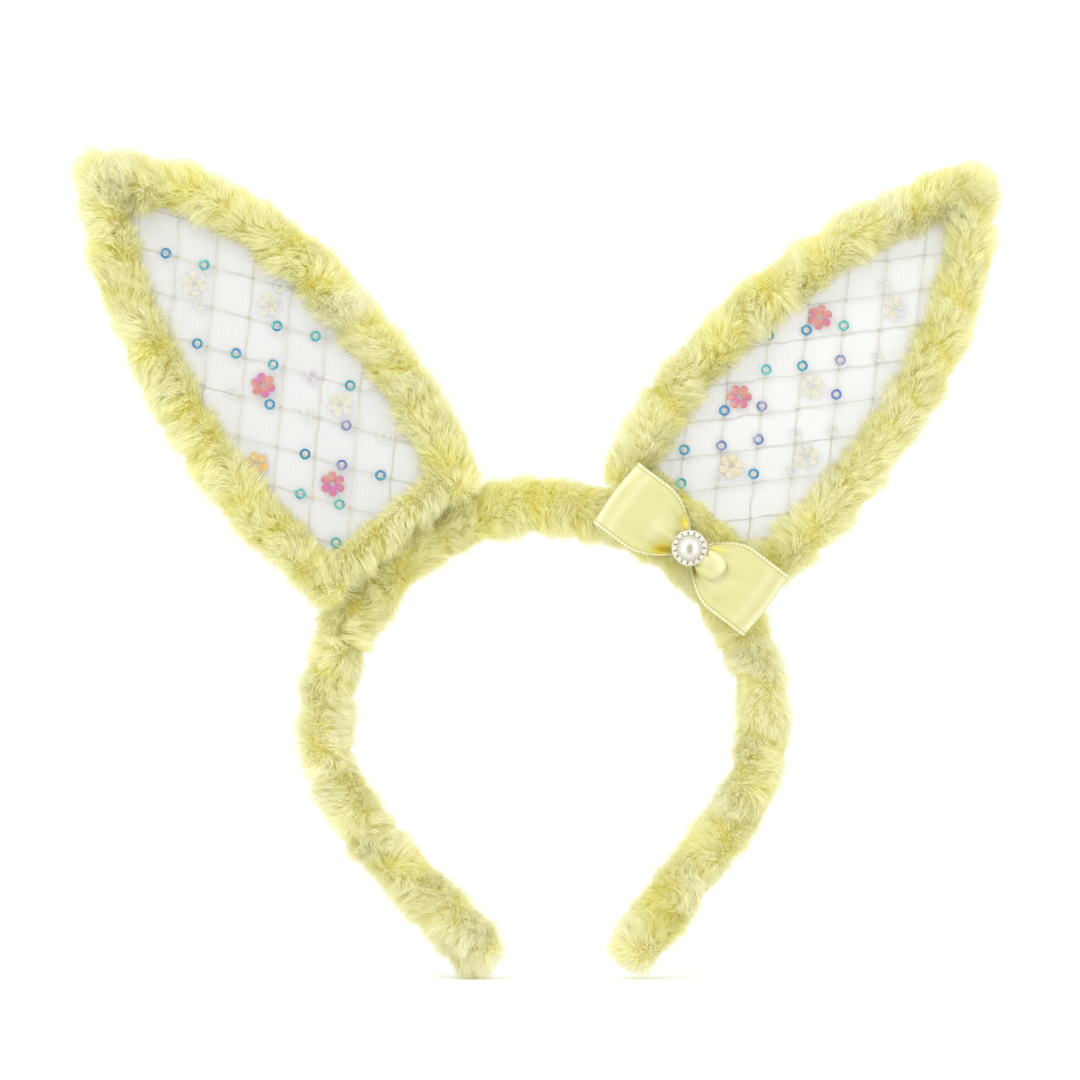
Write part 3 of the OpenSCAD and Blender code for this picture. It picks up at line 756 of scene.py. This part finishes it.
    run = unit(tip - root)
    side = unit(np.cross(run, normal + 0.5 * rng.normal(size=(count, 3))))
    wide = (FIBRE_ROOT * rng.uniform(0.75, 1.25, count))[:, None] * side / 2
    points = np.stack([root - wide, root + wide, bend - 0.8 * wide, bend + 0.8 * wide, tip], 1)
    first = (5 * np.arange(count))[:, None]
    faces = np.stack([first + (0, 1, 3), first + (0, 3, 2), first + (2, 3, 4)], 1)
    # Random tone, darkened along the seam's creases by painted shade.
    shade = 0.52 + 0.04 * mood[:, 3] + 0.15 * swell(root, 22, seed + 5) + 0.09 * rng.normal(size=count)
    shade = np.clip(shade - 0.38 * seam, 0.01, 0.99)
    up = np.array([0.02, 0.02, 0.5, 0.5, 0.98])
    values = np.stack([np.repeat(shade[:, None], 5, 1), np.broadcast_to(up, (count, 5))], -1)
    return shape(name, points, faces.reshape(-1, 3), body, finish, maps={"OFBake": values.reshape(-1, 2)},
                 stands_for=(node,))


DENSITY = 1.0


def plush_piece(name, node, sleeve, body, finish, per_length, length, parts=1, **growth):
    """A backing tube and its pile, which is cut into parts along the sleeve."""
    cloth = backing(name + "_backing", sleeve, body, node)
    for part in range(parts):
        label = name + "_pile" + ("" if parts == 1 else "_" + str(part + 1))
        share = (part / parts, (part + 1) / parts)
        count = int(per_length * sleeve.length / parts * DENSITY)
        pile(label, sleeve, body, node, finish, count, length, span=share, **growth)
    flat = (2 * math.pi * sleeve.radius * MM, sleeve.length * MM)
    core = "band_core" if body == "band" else body + "_wire"


BAND_BACKING = 5.5
EAR_BACKING = 4.8
FOOT_BACKING = 3.9
BAND_PILE = 5.4
EAR_PILE = 5.9
FOOT_PILE = 5.6
BAND_FIBRES = 430
EAR_FIBRES = 400
HANG = unit(np.array([0.0, -0.3, -1.0]))

seam_far = CROWN_RADIUS * math.radians(90 - FUR_SEAM)
crown = Sleeve(band_place(np.linspace(-seam_far, seam_far, 260))[0], BAND_BACKING)
plush_piece("crown_fur", "crown_fur", crown, "band", crown_plush, BAND_FIBRES, BAND_PILE,
             parts=2, start_growth=0.45)
for side, label in ((-1, "left_leg"), (1, "right_leg")):
    way = band_place(side * np.linspace(seam_far - 0.5, leg_end(side) - 1.0, 220))[0]
    leg = Sleeve(way, BAND_BACKING, dome_end=8.0, blunt=4.0)
    plush_piece(label + "_fur", label + "_fur", leg, "band", leg_plush, BAND_FIBRES, BAND_PILE,
                 end_growth=0.3)

for ear, facts in EARS.items():
    for side in ("inner", "outer"):
        way = ear_side(ear, side)
        way = np.concatenate([[[way[0, 0], -2.0]], way[1:]])
        sleeve = Sleeve(flat_way(ear, way), EAR_BACKING, dome_start=4.5, dome_end=facts["tip_dome"])
        plush_piece(f"{ear}_{side}_fur", f"{ear}_fur_{side}", sleeve, ear, ear_plush, EAR_FIBRES, EAR_PILE,
                    end_growth=facts["tip_growth"])
    run = np.linspace(-FOOT_HALF + 5, FOOT_HALF - 5, 60)
    sleeve = Sleeve(flat_way(ear, np.stack([run, np.zeros(60)], -1)), FOOT_BACKING)
    plush_piece(f"{ear}_foot_fur", f"{ear}_fur_foot", sleeve, ear, ear_plush, EAR_FIBRES, FOOT_PILE,
                 comb=HANG)


# ---- panels, nets and sequins ----

PANEL_INSET = 5.2
PANEL_FOOT = 3.4


def inset_side(ear, side, inset):
    """One edge of an ear's panel: the wire's side moved inwards, as places across and heights."""
    way = ear_side(ear, side, 240)
    along = unit(np.gradient(way, axis=0))
    inward = np.stack([along[:, 1], -along[:, 0]], -1)
    inward *= -np.sign(way[:1, 0]) * np.sign(inward[:1, 0])
    return way + inset * inward


def panel_edges(ear, inset=PANEL_INSET):
    """Heights, with the places of the panel's two edges across at each, from its foot to where they meet."""
    low_side, high_side = (inset_side(ear, s, inset) for s in ("inner", "outer"))
    if low_side[0, 0] > high_side[0, 0]:
        low_side, high_side = high_side, low_side
    heights = np.linspace(PANEL_FOOT, 150, 900)
    low = np.interp(heights, low_side[:, 1], low_side[:, 0])
    high = np.interp(heights, high_side[:, 1], high_side[:, 0])
    meet = np.argmax(high - low < 0.3)
    return heights[:meet], low[:meet], high[:meet]


def panel(ear):
    """The sheer panel: rows across between the two edges, a little slack, with small puckers
    where it is sewn."""
    heights, low, high = panel_edges(ear)
    rows, columns = 150, 56
    pick = np.linspace(0, len(heights) - 1, rows)
    order = np.arange(len(heights))
    up = np.interp(pick, order, heights)[:, None] * np.ones(columns)
    share = np.linspace(0, 1, columns)[None, :]
    near_edge, far_edge = (np.interp(pick, order, edge)[:, None] for edge in (low, high))
    across = near_edge * (1 - share) + far_edge * share
    flat = np.stack([across, up], -1)
    rim = np.minimum(share, 1 - share) * (np.interp(pick, order, high - low)[:, None])
    slack = 0.25 * swell(flat, 38, 11) + 0.30 * np.exp(-rim / 4) * swell(flat, 7, 12)
    points = in_ear(ear, np.stack([across, slack, up], -1))
    piece = shape(ear + "_gauze", points, grid_faces(rows, columns)[:, ::-1], ear, ear_gauze[ear],
                  stands_for=(ear + "_panel",))


# A net: place of one ring, the steps along its two threads, and the shares of those steps
# from a ring to the threads' crossing and to a flower.
NETS = {
    "left_ear": {
        "start": (7.2, 102.3), "a": (0.6025, -0.8625), "b": (-0.739, -0.749),
        "crossing": (0.27, 0.0), "flower": (-0.21, 0.54),
    },
    "right_ear": {
        "start": (-19.3, 61.3), "a": (0.677, 0.73), "b": (0.514, -0.772),
        "crossing": (0.0, 0.26), "flower": (0.35, -0.33),
    },
}


def net_spot(ear, i, j, share=(0.0, 0.0)):
    """A lattice place of an ear's net, moved by shares of its two steps."""
    net = NETS[ear]
    a, b = NET_PITCH * np.array(net["a"]), NET_PITCH * np.array(net["b"])
    return np.array(net["start"]) + (i + share[0]) * a + (j + share[1]) * b


def inside(ear, flat, inset=4.2):
    """Whether across-and-up points lie within the panel's edges."""
    heights, low, high = panel_edges(ear, inset)
    x, z = flat[:, 0], flat[:, 1]
    between = (x > np.interp(z, heights, low)) & (x < np.interp(z, heights, high))
    return (z > heights[0]) & (z < heights[-1]) & between


NET_LINES = range(-9, 14)
THREAD_RADIUS = 0.13
KNOT_THREAD_RADIUS = 0.17


def net(ear):
    """The net's threads: two families of lines across the panel, each wandering a little, with
    a small knot at every crossing."""
    facts = NETS[ear]
    parts, knots = [], []
    run = np.arange(-170, 170, 1.1)
    for family in (0, 1):
        way = unit(np.array(facts["ab"[family]]))
        for line in NET_LINES:
            spot = (0, line) if family == 0 else (line, 0)
            start = net_spot(ear, *spot, share=facts["crossing"])
            flat = start + run[:, None] * way
            keep = inside(ear, flat)
            if keep.sum() < 4:
                continue
            flat = flat[keep]
            wander = 0.16 * swell(flat, 9, 300 + 40 * family + line)
            flat = flat + wander[:, None] * (-way[1], way[0])
            forward = 0.62 + 0.14 * family + 0.14 * swell(flat, 14, 500 + 40 * family + line)
            thread = np.stack([flat[:, 0], forward, flat[:, 1]], -1)
            parts.append(tube(in_ear(ear, thread), THREAD_RADIUS))
    for i in NET_LINES:
        for j in NET_LINES:
            spot = net_spot(ear, i, j, facts["crossing"])
            if inside(ear, spot[None])[0]:
                knots.append(spot)
    rng = np.random.default_rng(77)
    for spot in knots:
        bend = np.linspace(0, 1, 7)[:, None]
        swing = rng.normal(size=2)
        swing = swing / np.linalg.norm(swing)
        coil = spot + 0.45 * (np.cos(5.0 * bend) * swing + np.sin(5.0 * bend) * swing[::-1] * (-1, 1))
        turned = np.stack([coil[:, 0], 0.86 + 0.2 * bend[:, 0], coil[:, 1]], -1)
        parts.append(tube(in_ear(ear, turned), KNOT_THREAD_RADIUS))
    points, faces = joined(parts)
    shape(ear + "_threads", points, faces, ear, net_cotton, stands_for=(ear + "_net",))


def ring_shape(width, hole, dish=0.28, wall=0.14, turns=22):
    """A dished washer: a closed profile of six points turned about the middle."""
    profile = np.array([
        (hole / 2, 0.0), (width * 0.36, dish * 0.35), (width / 2, dish), (width / 2, dish + wall),
        (width * 0.36, dish * 0.35 + wall), (hole / 2, wall),
    ])
    turn = np.linspace(0, 2 * np.pi, turns, endpoint=False)
    radius, forward = profile[:, 0], profile[:, 1]
    points = np.stack([
        np.outer(np.cos(turn), radius), np.outer(np.ones(turns), forward), np.outer(np.sin(turn), radius),
    ], -1)
    return points.reshape(-1, 3), grid_faces(turns, len(profile), True, True)


def flower_shape(width, petals=6, wall=0.16, turns=108):
    """A dished flower: from each petal's middle line the rim falls off as a round tip does,
    down to narrow notches."""
    turn = np.linspace(0, 2 * np.pi, turns, endpoint=False)
    aside = np.abs((petals * turn / np.pi + 1) % 2 - 1)
    swing = np.sqrt(1 - aside ** 2.2)
    rim = width / 2 * (0.44 + 0.56 * swing)
    share = np.array([0.24, 0.36, 0.5, 0.68, 0.84, 0.95, 1.0])
    lift = 0.3 * share ** 1.6 - 0.08 * np.sin(np.pi * share) * swing[:, None] - 0.08 * (share > 0.97)
    radius = rim[:, None] * share
    radius[:, 0] = 0.105 * width
    front = np.stack([radius * np.cos(turn)[:, None], lift + wall, radius * np.sin(turn)[:, None]], -1)
    back = np.stack([radius * np.cos(turn)[:, None], lift, radius * np.sin(turn)[:, None]], -1)
    both = np.concatenate([back, front[:, ::-1]], 1)
    return both.reshape(-1, 3), grid_faces(turns, both.shape[1], True, True)


def scattered(name, ear, spots, one, finish, node, seed, forward, tilt):
    """Copies of one sequin at lattice spots, each turned and tilted a little in its own way."""
    rng = np.random.default_rng(seed)
    points, faces = one
    parts = []
    for spot in spots:
        turn = rng.uniform(0, 2 * np.pi)
        nod, sway = rng.normal(0, tilt, 2)
        x = points[:, 0] * math.cos(turn) - points[:, 2] * math.sin(turn)
        z = points[:, 0] * math.sin(turn) + points[:, 2] * math.cos(turn)
        y = points[:, 1] + nod * z + sway * x
        shove = rng.normal(0, 0.18, 2)
        placed = np.stack([spot[0] + shove[0] + x, forward + y - y.min(), spot[1] + shove[1] + z], -1)
        parts.append((in_ear(ear, placed), faces))
    points, faces = joined(parts)
    welded(shape(name, points, faces, ear, finish, stands_for=(node,)))


RING_WIDTH = 3.5
RING_HOLE = 1.9
FLOWER_WIDTH = 8.0
SEQUIN_FORWARD = 0.95
RING_TILT = 0.22
FLOWER_TILT = 0.10

SEQUINS = {
    "left_ear": {
        "blue": [(-1, 0), (0, 0), (2, 1), (3, 1), (0, 2), (1, 2), (2, 2), (4, 2),
                 (2, 3), (3, 4), (5, 4), (3, 5), (4, 5), (4, 6)],
        "violet": [(3, 2), (4, 3), (4, 4)],
        "clear": [(2, 0), (0, 1), (1, 3), (3, 3), (5, 3)],
        "pink_flowers": [(2, 2), (4, 4)],
        "gold_flowers": [(2, 4)],
        "clear_flowers": [(0, 0), (2, 0), (4, 2)],
    },
    "right_ear": {
        "blue": [(0, 0), (1, 0), (2, 0), (0, 1), (1, 1), (-1, 2), (-2, 3), (-2, 4), (0, 4)],
        "violet": [(2, 1), (0, 2), (2, 2), (-1, 3), (0, 3)],
        "clear": [(3, -1), (3, 1), (1, 3), (2, 3), (-1, 4), (1, 4)],
        "pink_flowers": [(1, 0), (-1, 2)],
        "gold_flowers": [(-1, 4)],
        "clear_flowers": [(3, 0), (1, 2), (1, 4)],
    },
}
SEQUIN_FILMS = {
    "blue": blue_film, "violet": violet_film, "clear": pale_film,
    "pink_flowers": pink_film, "gold_flowers": gold_film, "clear_flowers": faint_film,
}
for number, ear in enumerate(EARS):
    panel(ear)
    net(ear)
    for kind, spots in SEQUINS[ear].items():
        flower = kind.endswith("flowers")
        share = NETS[ear]["flower"] if flower else (0.0, 0.0)
        at = [net_spot(ear, i, j, share) for i, j in spots]
        one = flower_shape(FLOWER_WIDTH) if flower else ring_shape(RING_WIDTH, RING_HOLE)
        node = f"{ear}_{kind}" if flower else f"{ear}_{kind}_rings"
        slot = kind.split("_")[0] + "_sequin"
        film = cream_film if (ear, kind) == ("right_ear", "gold_flowers") else SEQUIN_FILMS[kind]
        scattered(f"{ear}_{kind}_sequins", ear, at, one, film, node,
                  60 + 10 * number + len(kind), SEQUIN_FORWARD, FLOWER_TILT if flower else RING_TILT)


# ---- bow ----

def in_bow(flat):
    """Points along the ribbon, forward and across it, moved to the bow's place and lean."""
    reach, around, lean = BOW_MIDDLE[0], math.radians(BOW_MIDDLE[1]), math.radians(BOW_LEAN)
    x, forward, z = flat[..., 0], flat[..., 1], flat[..., 2]
    return np.stack([
        reach * math.cos(around) + x * math.cos(lean) + z * math.sin(lean),
        -forward,
        reach * math.sin(around) - x * math.sin(lean) + z * math.cos(lean),
    ], -1)


LOOP_START = 2.6
RIBBON_WALL = 0.25


def loop(name, node, hand, reach, seed, gather, opening, crest, hollows):
    """One loop of ribbon. Along it: out over the front, round a soft fold and home behind.
    Across it: gathered at the knot, with pleats that die out before the fold, and hollows
    beside a ridge where the front is pinched. The ridge rises to its crest. Each hollow is a
    bell shape given by its place along and across, its two sizes and its depth. The hollows
    sink the back of the loop as well, so that its two layers don't cross."""
    start = LOOP_START
    rows, columns = 120, 61
    u = np.linspace(0, 1, rows)[:, None]
    v = np.linspace(-1, 1, columns)[None, :]
    s = (1 - np.cos(2 * np.pi * u)) / 2
    face = np.where(u < 0.5, 1.0, -1.0)
    swollen = np.sqrt(np.maximum(np.sin(np.pi * s ** 1.4), 0))
    half = RIBBON_WIDTH / 2 * (gather + (1 - gather) * np.sin(np.pi / 2 * np.clip(s / opening, 0, 1)) ** 0.87)
    bow_out = 1 + 0.04 * (1 - v * v) * np.clip(s * 1.6 - 0.6, 0, 1)
    x = start + s * (reach - start) * bow_out - 0.9 * (1 - v * v) * (s > 0.98)
    pleat = np.clip(1 - s / 0.85, 0, 1) ** 1.1 * np.clip(s / 0.08, 0, 1)
    fold = np.cos(2.3 * np.pi * (v + 0.16 * seed)) + 0.4 * np.cos(4.9 * np.pi * v + seed)
    forward = BOW_BACK + LOOP_DEPTH / 2 + face * LOOP_DEPTH / 2 * swollen
    ripple = swell(np.stack(np.broadcast_arrays(s * 30, v * 12), -1), 12, seed)
    forward = forward + pleat * (1.1 * fold * face) + 0.12 * ripple
    sunk = sum(
        depth * np.exp(-((s - at) / long) ** 2 - ((v - beside) / wide) ** 2)
        for at, beside, long, wide, depth in hollows
    )
    ridge = np.exp(-((s - 0.20) / 0.15) ** 2 - (v / 0.34) ** 2)
    sag = 0.5 * (1 - v * v) * swollen * face + (face > 0) * crest * ridge - sunk
    # Painted light for the turn map: painted highlights at the fold, just inside it and across the front, and
    # painted shade in the hollows of the front layer.
    painted_highlight = 0.85 * np.exp(-((s - 0.955) / 0.035) ** 2) + 0.35 * np.exp(-((s - 0.80) / 0.05) ** 2)
    painted_highlight = painted_highlight + 0.30 * np.exp(-((s - 0.36) / 0.10) ** 2 - ((v + 0.1) / 0.5) ** 2)
    painted_hollow_shade = np.clip(sunk / 2.0, 0, 1) ** 1.2 * (face > 0)
    turn = np.stack(np.broadcast_arrays(np.clip(painted_highlight - painted_hollow_shade, 0, 1), 0.9 * painted_hollow_shade), -1).reshape(-1, 2)
    points = in_bow(np.stack(np.broadcast_arrays(hand * x, forward + sag, half * v), -1))
    step = np.linalg.norm(np.diff(points[:, columns // 2], axis=0), axis=1)
    along = np.concatenate([[0], np.cumsum(step)])
    weave = np.stack(np.broadcast_arrays(along[:, None], v), -1).reshape(-1, 2)
    faces = grid_faces(rows, columns)
    piece = shape(name, points, faces if hand < 0 else faces[:, ::-1], "band", ribbon_satin,
                  maps={"weave": weave, "turn": turn}, stands_for=(node,))
    walled(piece, RIBBON_WALL, 0.0)


loop("bow_left_ribbon", "bow_left_loop", -1, 29.3, 1, 0.36, 0.55, 2.4,
     [(0.15, -0.72, 0.10, 0.34, 2.6), (0.13, 0.78, 0.07, 0.28, 2.2)])
loop("bow_right_ribbon", "bow_right_loop", 1, 30.6, 2, 0.20, 0.50, 0.8,
     [(0.16, 0.62, 0.09, 0.26, 1.3), (0.10, -0.75, 0.06, 0.26, 2.0)])


def knot():
    """The ribbon's gathered middle: a barrel about the ribbon's length, with pleats that run round it."""
    rows, columns = 64, 90
    x = np.linspace(-1, 1, rows)[:, None]
    turn = np.linspace(0, 2 * np.pi, columns, endpoint=False)[None, :]
    barrel = np.sqrt(np.maximum(1 - np.abs(x) ** 3.2, 0.0))
    pleat = 0.30 * np.cos(5.5 * np.pi * x + 0.5 * np.sin(turn)) * barrel
    radius = (KNOT_RADIUS - 0.4) * barrel * (1 + 0.04 * np.cos(2 * turn)) + pleat
    forward = KNOT_FORWARD - 0.6 + np.minimum(radius * np.cos(turn), KNOT_RADIUS - 1.35)
    beside, up = KNOT_HALF * x + 0 * turn, radius * np.sin(turn) * 1.15
    points = in_bow(np.stack(np.broadcast_arrays(beside, forward, up), -1))
    weave = np.stack(np.broadcast_arrays(turn * KNOT_RADIUS, x * 0.85), -1).reshape(-1, 2)
    faces = grid_faces(rows, columns, wrap_columns=True)
    piece = shape("bow_knot_ribbon", points, faces, "band", ribbon_satin,
                  maps={"weave": weave, "turn": weave * 0}, stands_for=("bow_knot",))
    welded(piece, 0.01)


# The fold's middle along and across the ribbon, its size, its place forward, and how far it
# rises away from the knot and puffs out.
FOLD_MIDDLE = (8.6, -0.4)
FOLD_SIZE = (9.6, 8.8)
FOLD_FORWARD = KNOT_FORWARD + 3.0
FOLD_RISE = 1.4
FOLD_PUFF = 2.7
FOLD_SQUARENESS = 2.6


def knot_fold():
    """A puffed fold of ribbon beside the knot: a superellipse seen from the front, domed
    forward, with two creases that run from the knot, and the woven edge round its free end.
    It rises away from the knot, so that its root lies under the pearl's rim."""
    rows, columns = 44, 90
    polar = np.linspace(0, np.pi, rows)[:, None]
    turn = np.linspace(0, 2 * np.pi, columns, endpoint=False)[None, :]
    out = np.sin(polar)
    squarer = np.abs(np.cos(turn)) ** FOLD_SQUARENESS + np.abs(np.sin(turn)) ** FOLD_SQUARENESS
    squarer = squarer ** (-1 / FOLD_SQUARENESS)
    px, pz = out * np.cos(turn) * squarer, out * np.sin(turn) * squarer
    dome = np.cos(polar) * np.ones_like(turn)
    upper = np.exp(-((pz - 0.35 + 0.2 * px) / 0.13) ** 2)
    lower = np.exp(-((pz + 0.42 - 0.1 * px) / 0.15) ** 2)
    crease = upper + 0.8 * lower
    dome = dome - 0.30 * crease * np.clip(0.6 - px, 0, 1) * (dome > 0)
    points = in_bow(np.stack([
        FOLD_MIDDLE[0] + FOLD_SIZE[0] / 2 * px,
        FOLD_FORWARD + FOLD_RISE * px + FOLD_PUFF * dome,
        FOLD_MIDDLE[1] + FOLD_SIZE[1] / 2 * pz,
    ], -1))
    free = np.clip(0.62 + 0.5 * np.cos(turn + 0.5), 0, 1)
    around = turn * sum(FOLD_SIZE) / 4
    weave = np.stack(np.broadcast_arrays(around, out * free * (np.cos(polar) > -0.2)), -1)
    # Painted light for the turn map: a painted highlight that grows towards the top of the fold, and painted
    # shade in its creases near the knot.
    painted_highlight = 0.8 * np.clip(0.6 + 0.6 * pz, 0, 1) * out ** 0.4
    shade = np.stack(np.broadcast_arrays(painted_highlight, 0.35 * crease * np.clip(0.3 - px, 0, 1)), -1)
    faces = grid_faces(rows, columns, wrap_columns=True)
    piece = shape("bow_right_fold", points, faces, "band", ribbon_satin,
                  maps={"weave": weave.reshape(-1, 2), "turn": shade.reshape(-1, 2)},
                  stands_for=("bow_knot",))
    welded(piece, 0.01)


knot()
knot_fold()


def lathe(profile, turns):
    """A closed shape turned about the setting's axis from radii and distances forward."""
    radius, forward = np.asarray(profile, float).T
    turn = np.linspace(0, 2 * np.pi, turns, endpoint=False)
    points = np.stack([
        np.outer(np.cos(turn), radius), np.outer(np.ones(turns), forward), np.outer(np.sin(turn), radius),
    ], -1)
    return points.reshape(-1, 3), grid_faces(turns, len(profile), wrap_rows=True)


def on_setting(points):
    """Points about the setting's axis, moved to the bow's front."""
    return in_bow(np.asarray(points) + (0.0, SETTING_BACK, 0.0))


def ball(radius, rows, columns):
    """A sphere from its poles and circles of latitude."""
    polar = np.linspace(0, np.pi, rows)
    return lathe(np.stack([radius * np.sin(polar) + 1e-6, radius * np.cos(polar)], -1), columns)


def set_piece(name, made, finish, node, maps=None):
    """A piece of the setting from points about its axis and faces."""
    points, faces = made
    welded(shape(name, on_setting(points), faces, "band", finish, maps=maps,
                 stands_for=(node,)), 0.01)


BEAD_RADIUS = 0.94
HOOP_RADIUS = 0.32
PEARL_BASE = 1.15

plate = lathe([(0, 0.1), (4.0, 0.1), (4.2, 0.3), (4.2, 0.75), (3.9, 1.0), (3.6, 1.05), (0, 1.0)], 64)
set_piece("pearl_plate", plate, bead_metal, "pearl_setting")
# A dark disc behind the rim beads: painted shadow in the gaps between them.
gap_shadow = lathe([(0, -0.1), (5.2, -0.1), (5.35, 0.05), (5.2, 0.25), (0, 0.25)], 64)
set_piece("setting_gap_shadow", gap_shadow, gap_shadow_finish, "pearl_setting")

bead_points, bead_faces = ball(BEAD_RADIUS, 14, 20)
bead_turns = 2 * np.pi * np.arange(BEADS) / BEADS
bead_reach = RIM_WIDTH / 2 - 0.1 - BEAD_RADIUS
beads = joined([
    (bead_points + (bead_reach * math.cos(t), 0.75, bead_reach * math.sin(t)), bead_faces) for t in bead_turns
])
set_piece("rim_beads", beads, bead_metal, "setting_beads")
hoop_turn = np.linspace(0, 2 * np.pi, 17)
hoop = lathe(np.stack([
    RIM_WIDTH / 2 - HOOP_RADIUS + HOOP_RADIUS * np.cos(hoop_turn), 0.6 + HOOP_RADIUS * np.sin(hoop_turn),
], -1), 90)
set_piece("rim_hoop", hoop, bead_metal, "setting_beads")

# The pearl's map: how strong the painted reflections on its two sides are, and how far each place is from its
# heart, where a painted dark reflection sits.
half_pearl = PEARL_WIDTH / 2
polar = np.linspace(0, np.pi, 48)
dome = lathe(np.stack([
    half_pearl * np.sin(polar) + 1e-6, PEARL_BASE + np.maximum(half_pearl * np.cos(polar), -0.6),
], -1), 80)
upright = in_bow(dome[0]) - in_bow(np.zeros(3))
dome_x, dome_z = upright[:, 0] / half_pearl, upright[:, 2] / half_pearl
heart = np.hypot(dome_x / 0.62, dome_z / 0.86 + 0.08)
painted_side_reflection = np.exp(-((np.abs(dome_x) - 0.52) / 0.17) ** 4 - (dome_z / 0.36) ** 4)
set_piece("pearl_dome", dome, pearl_lustre, "pearl",
          maps={"round": np.stack([painted_side_reflection, heart], -1)})
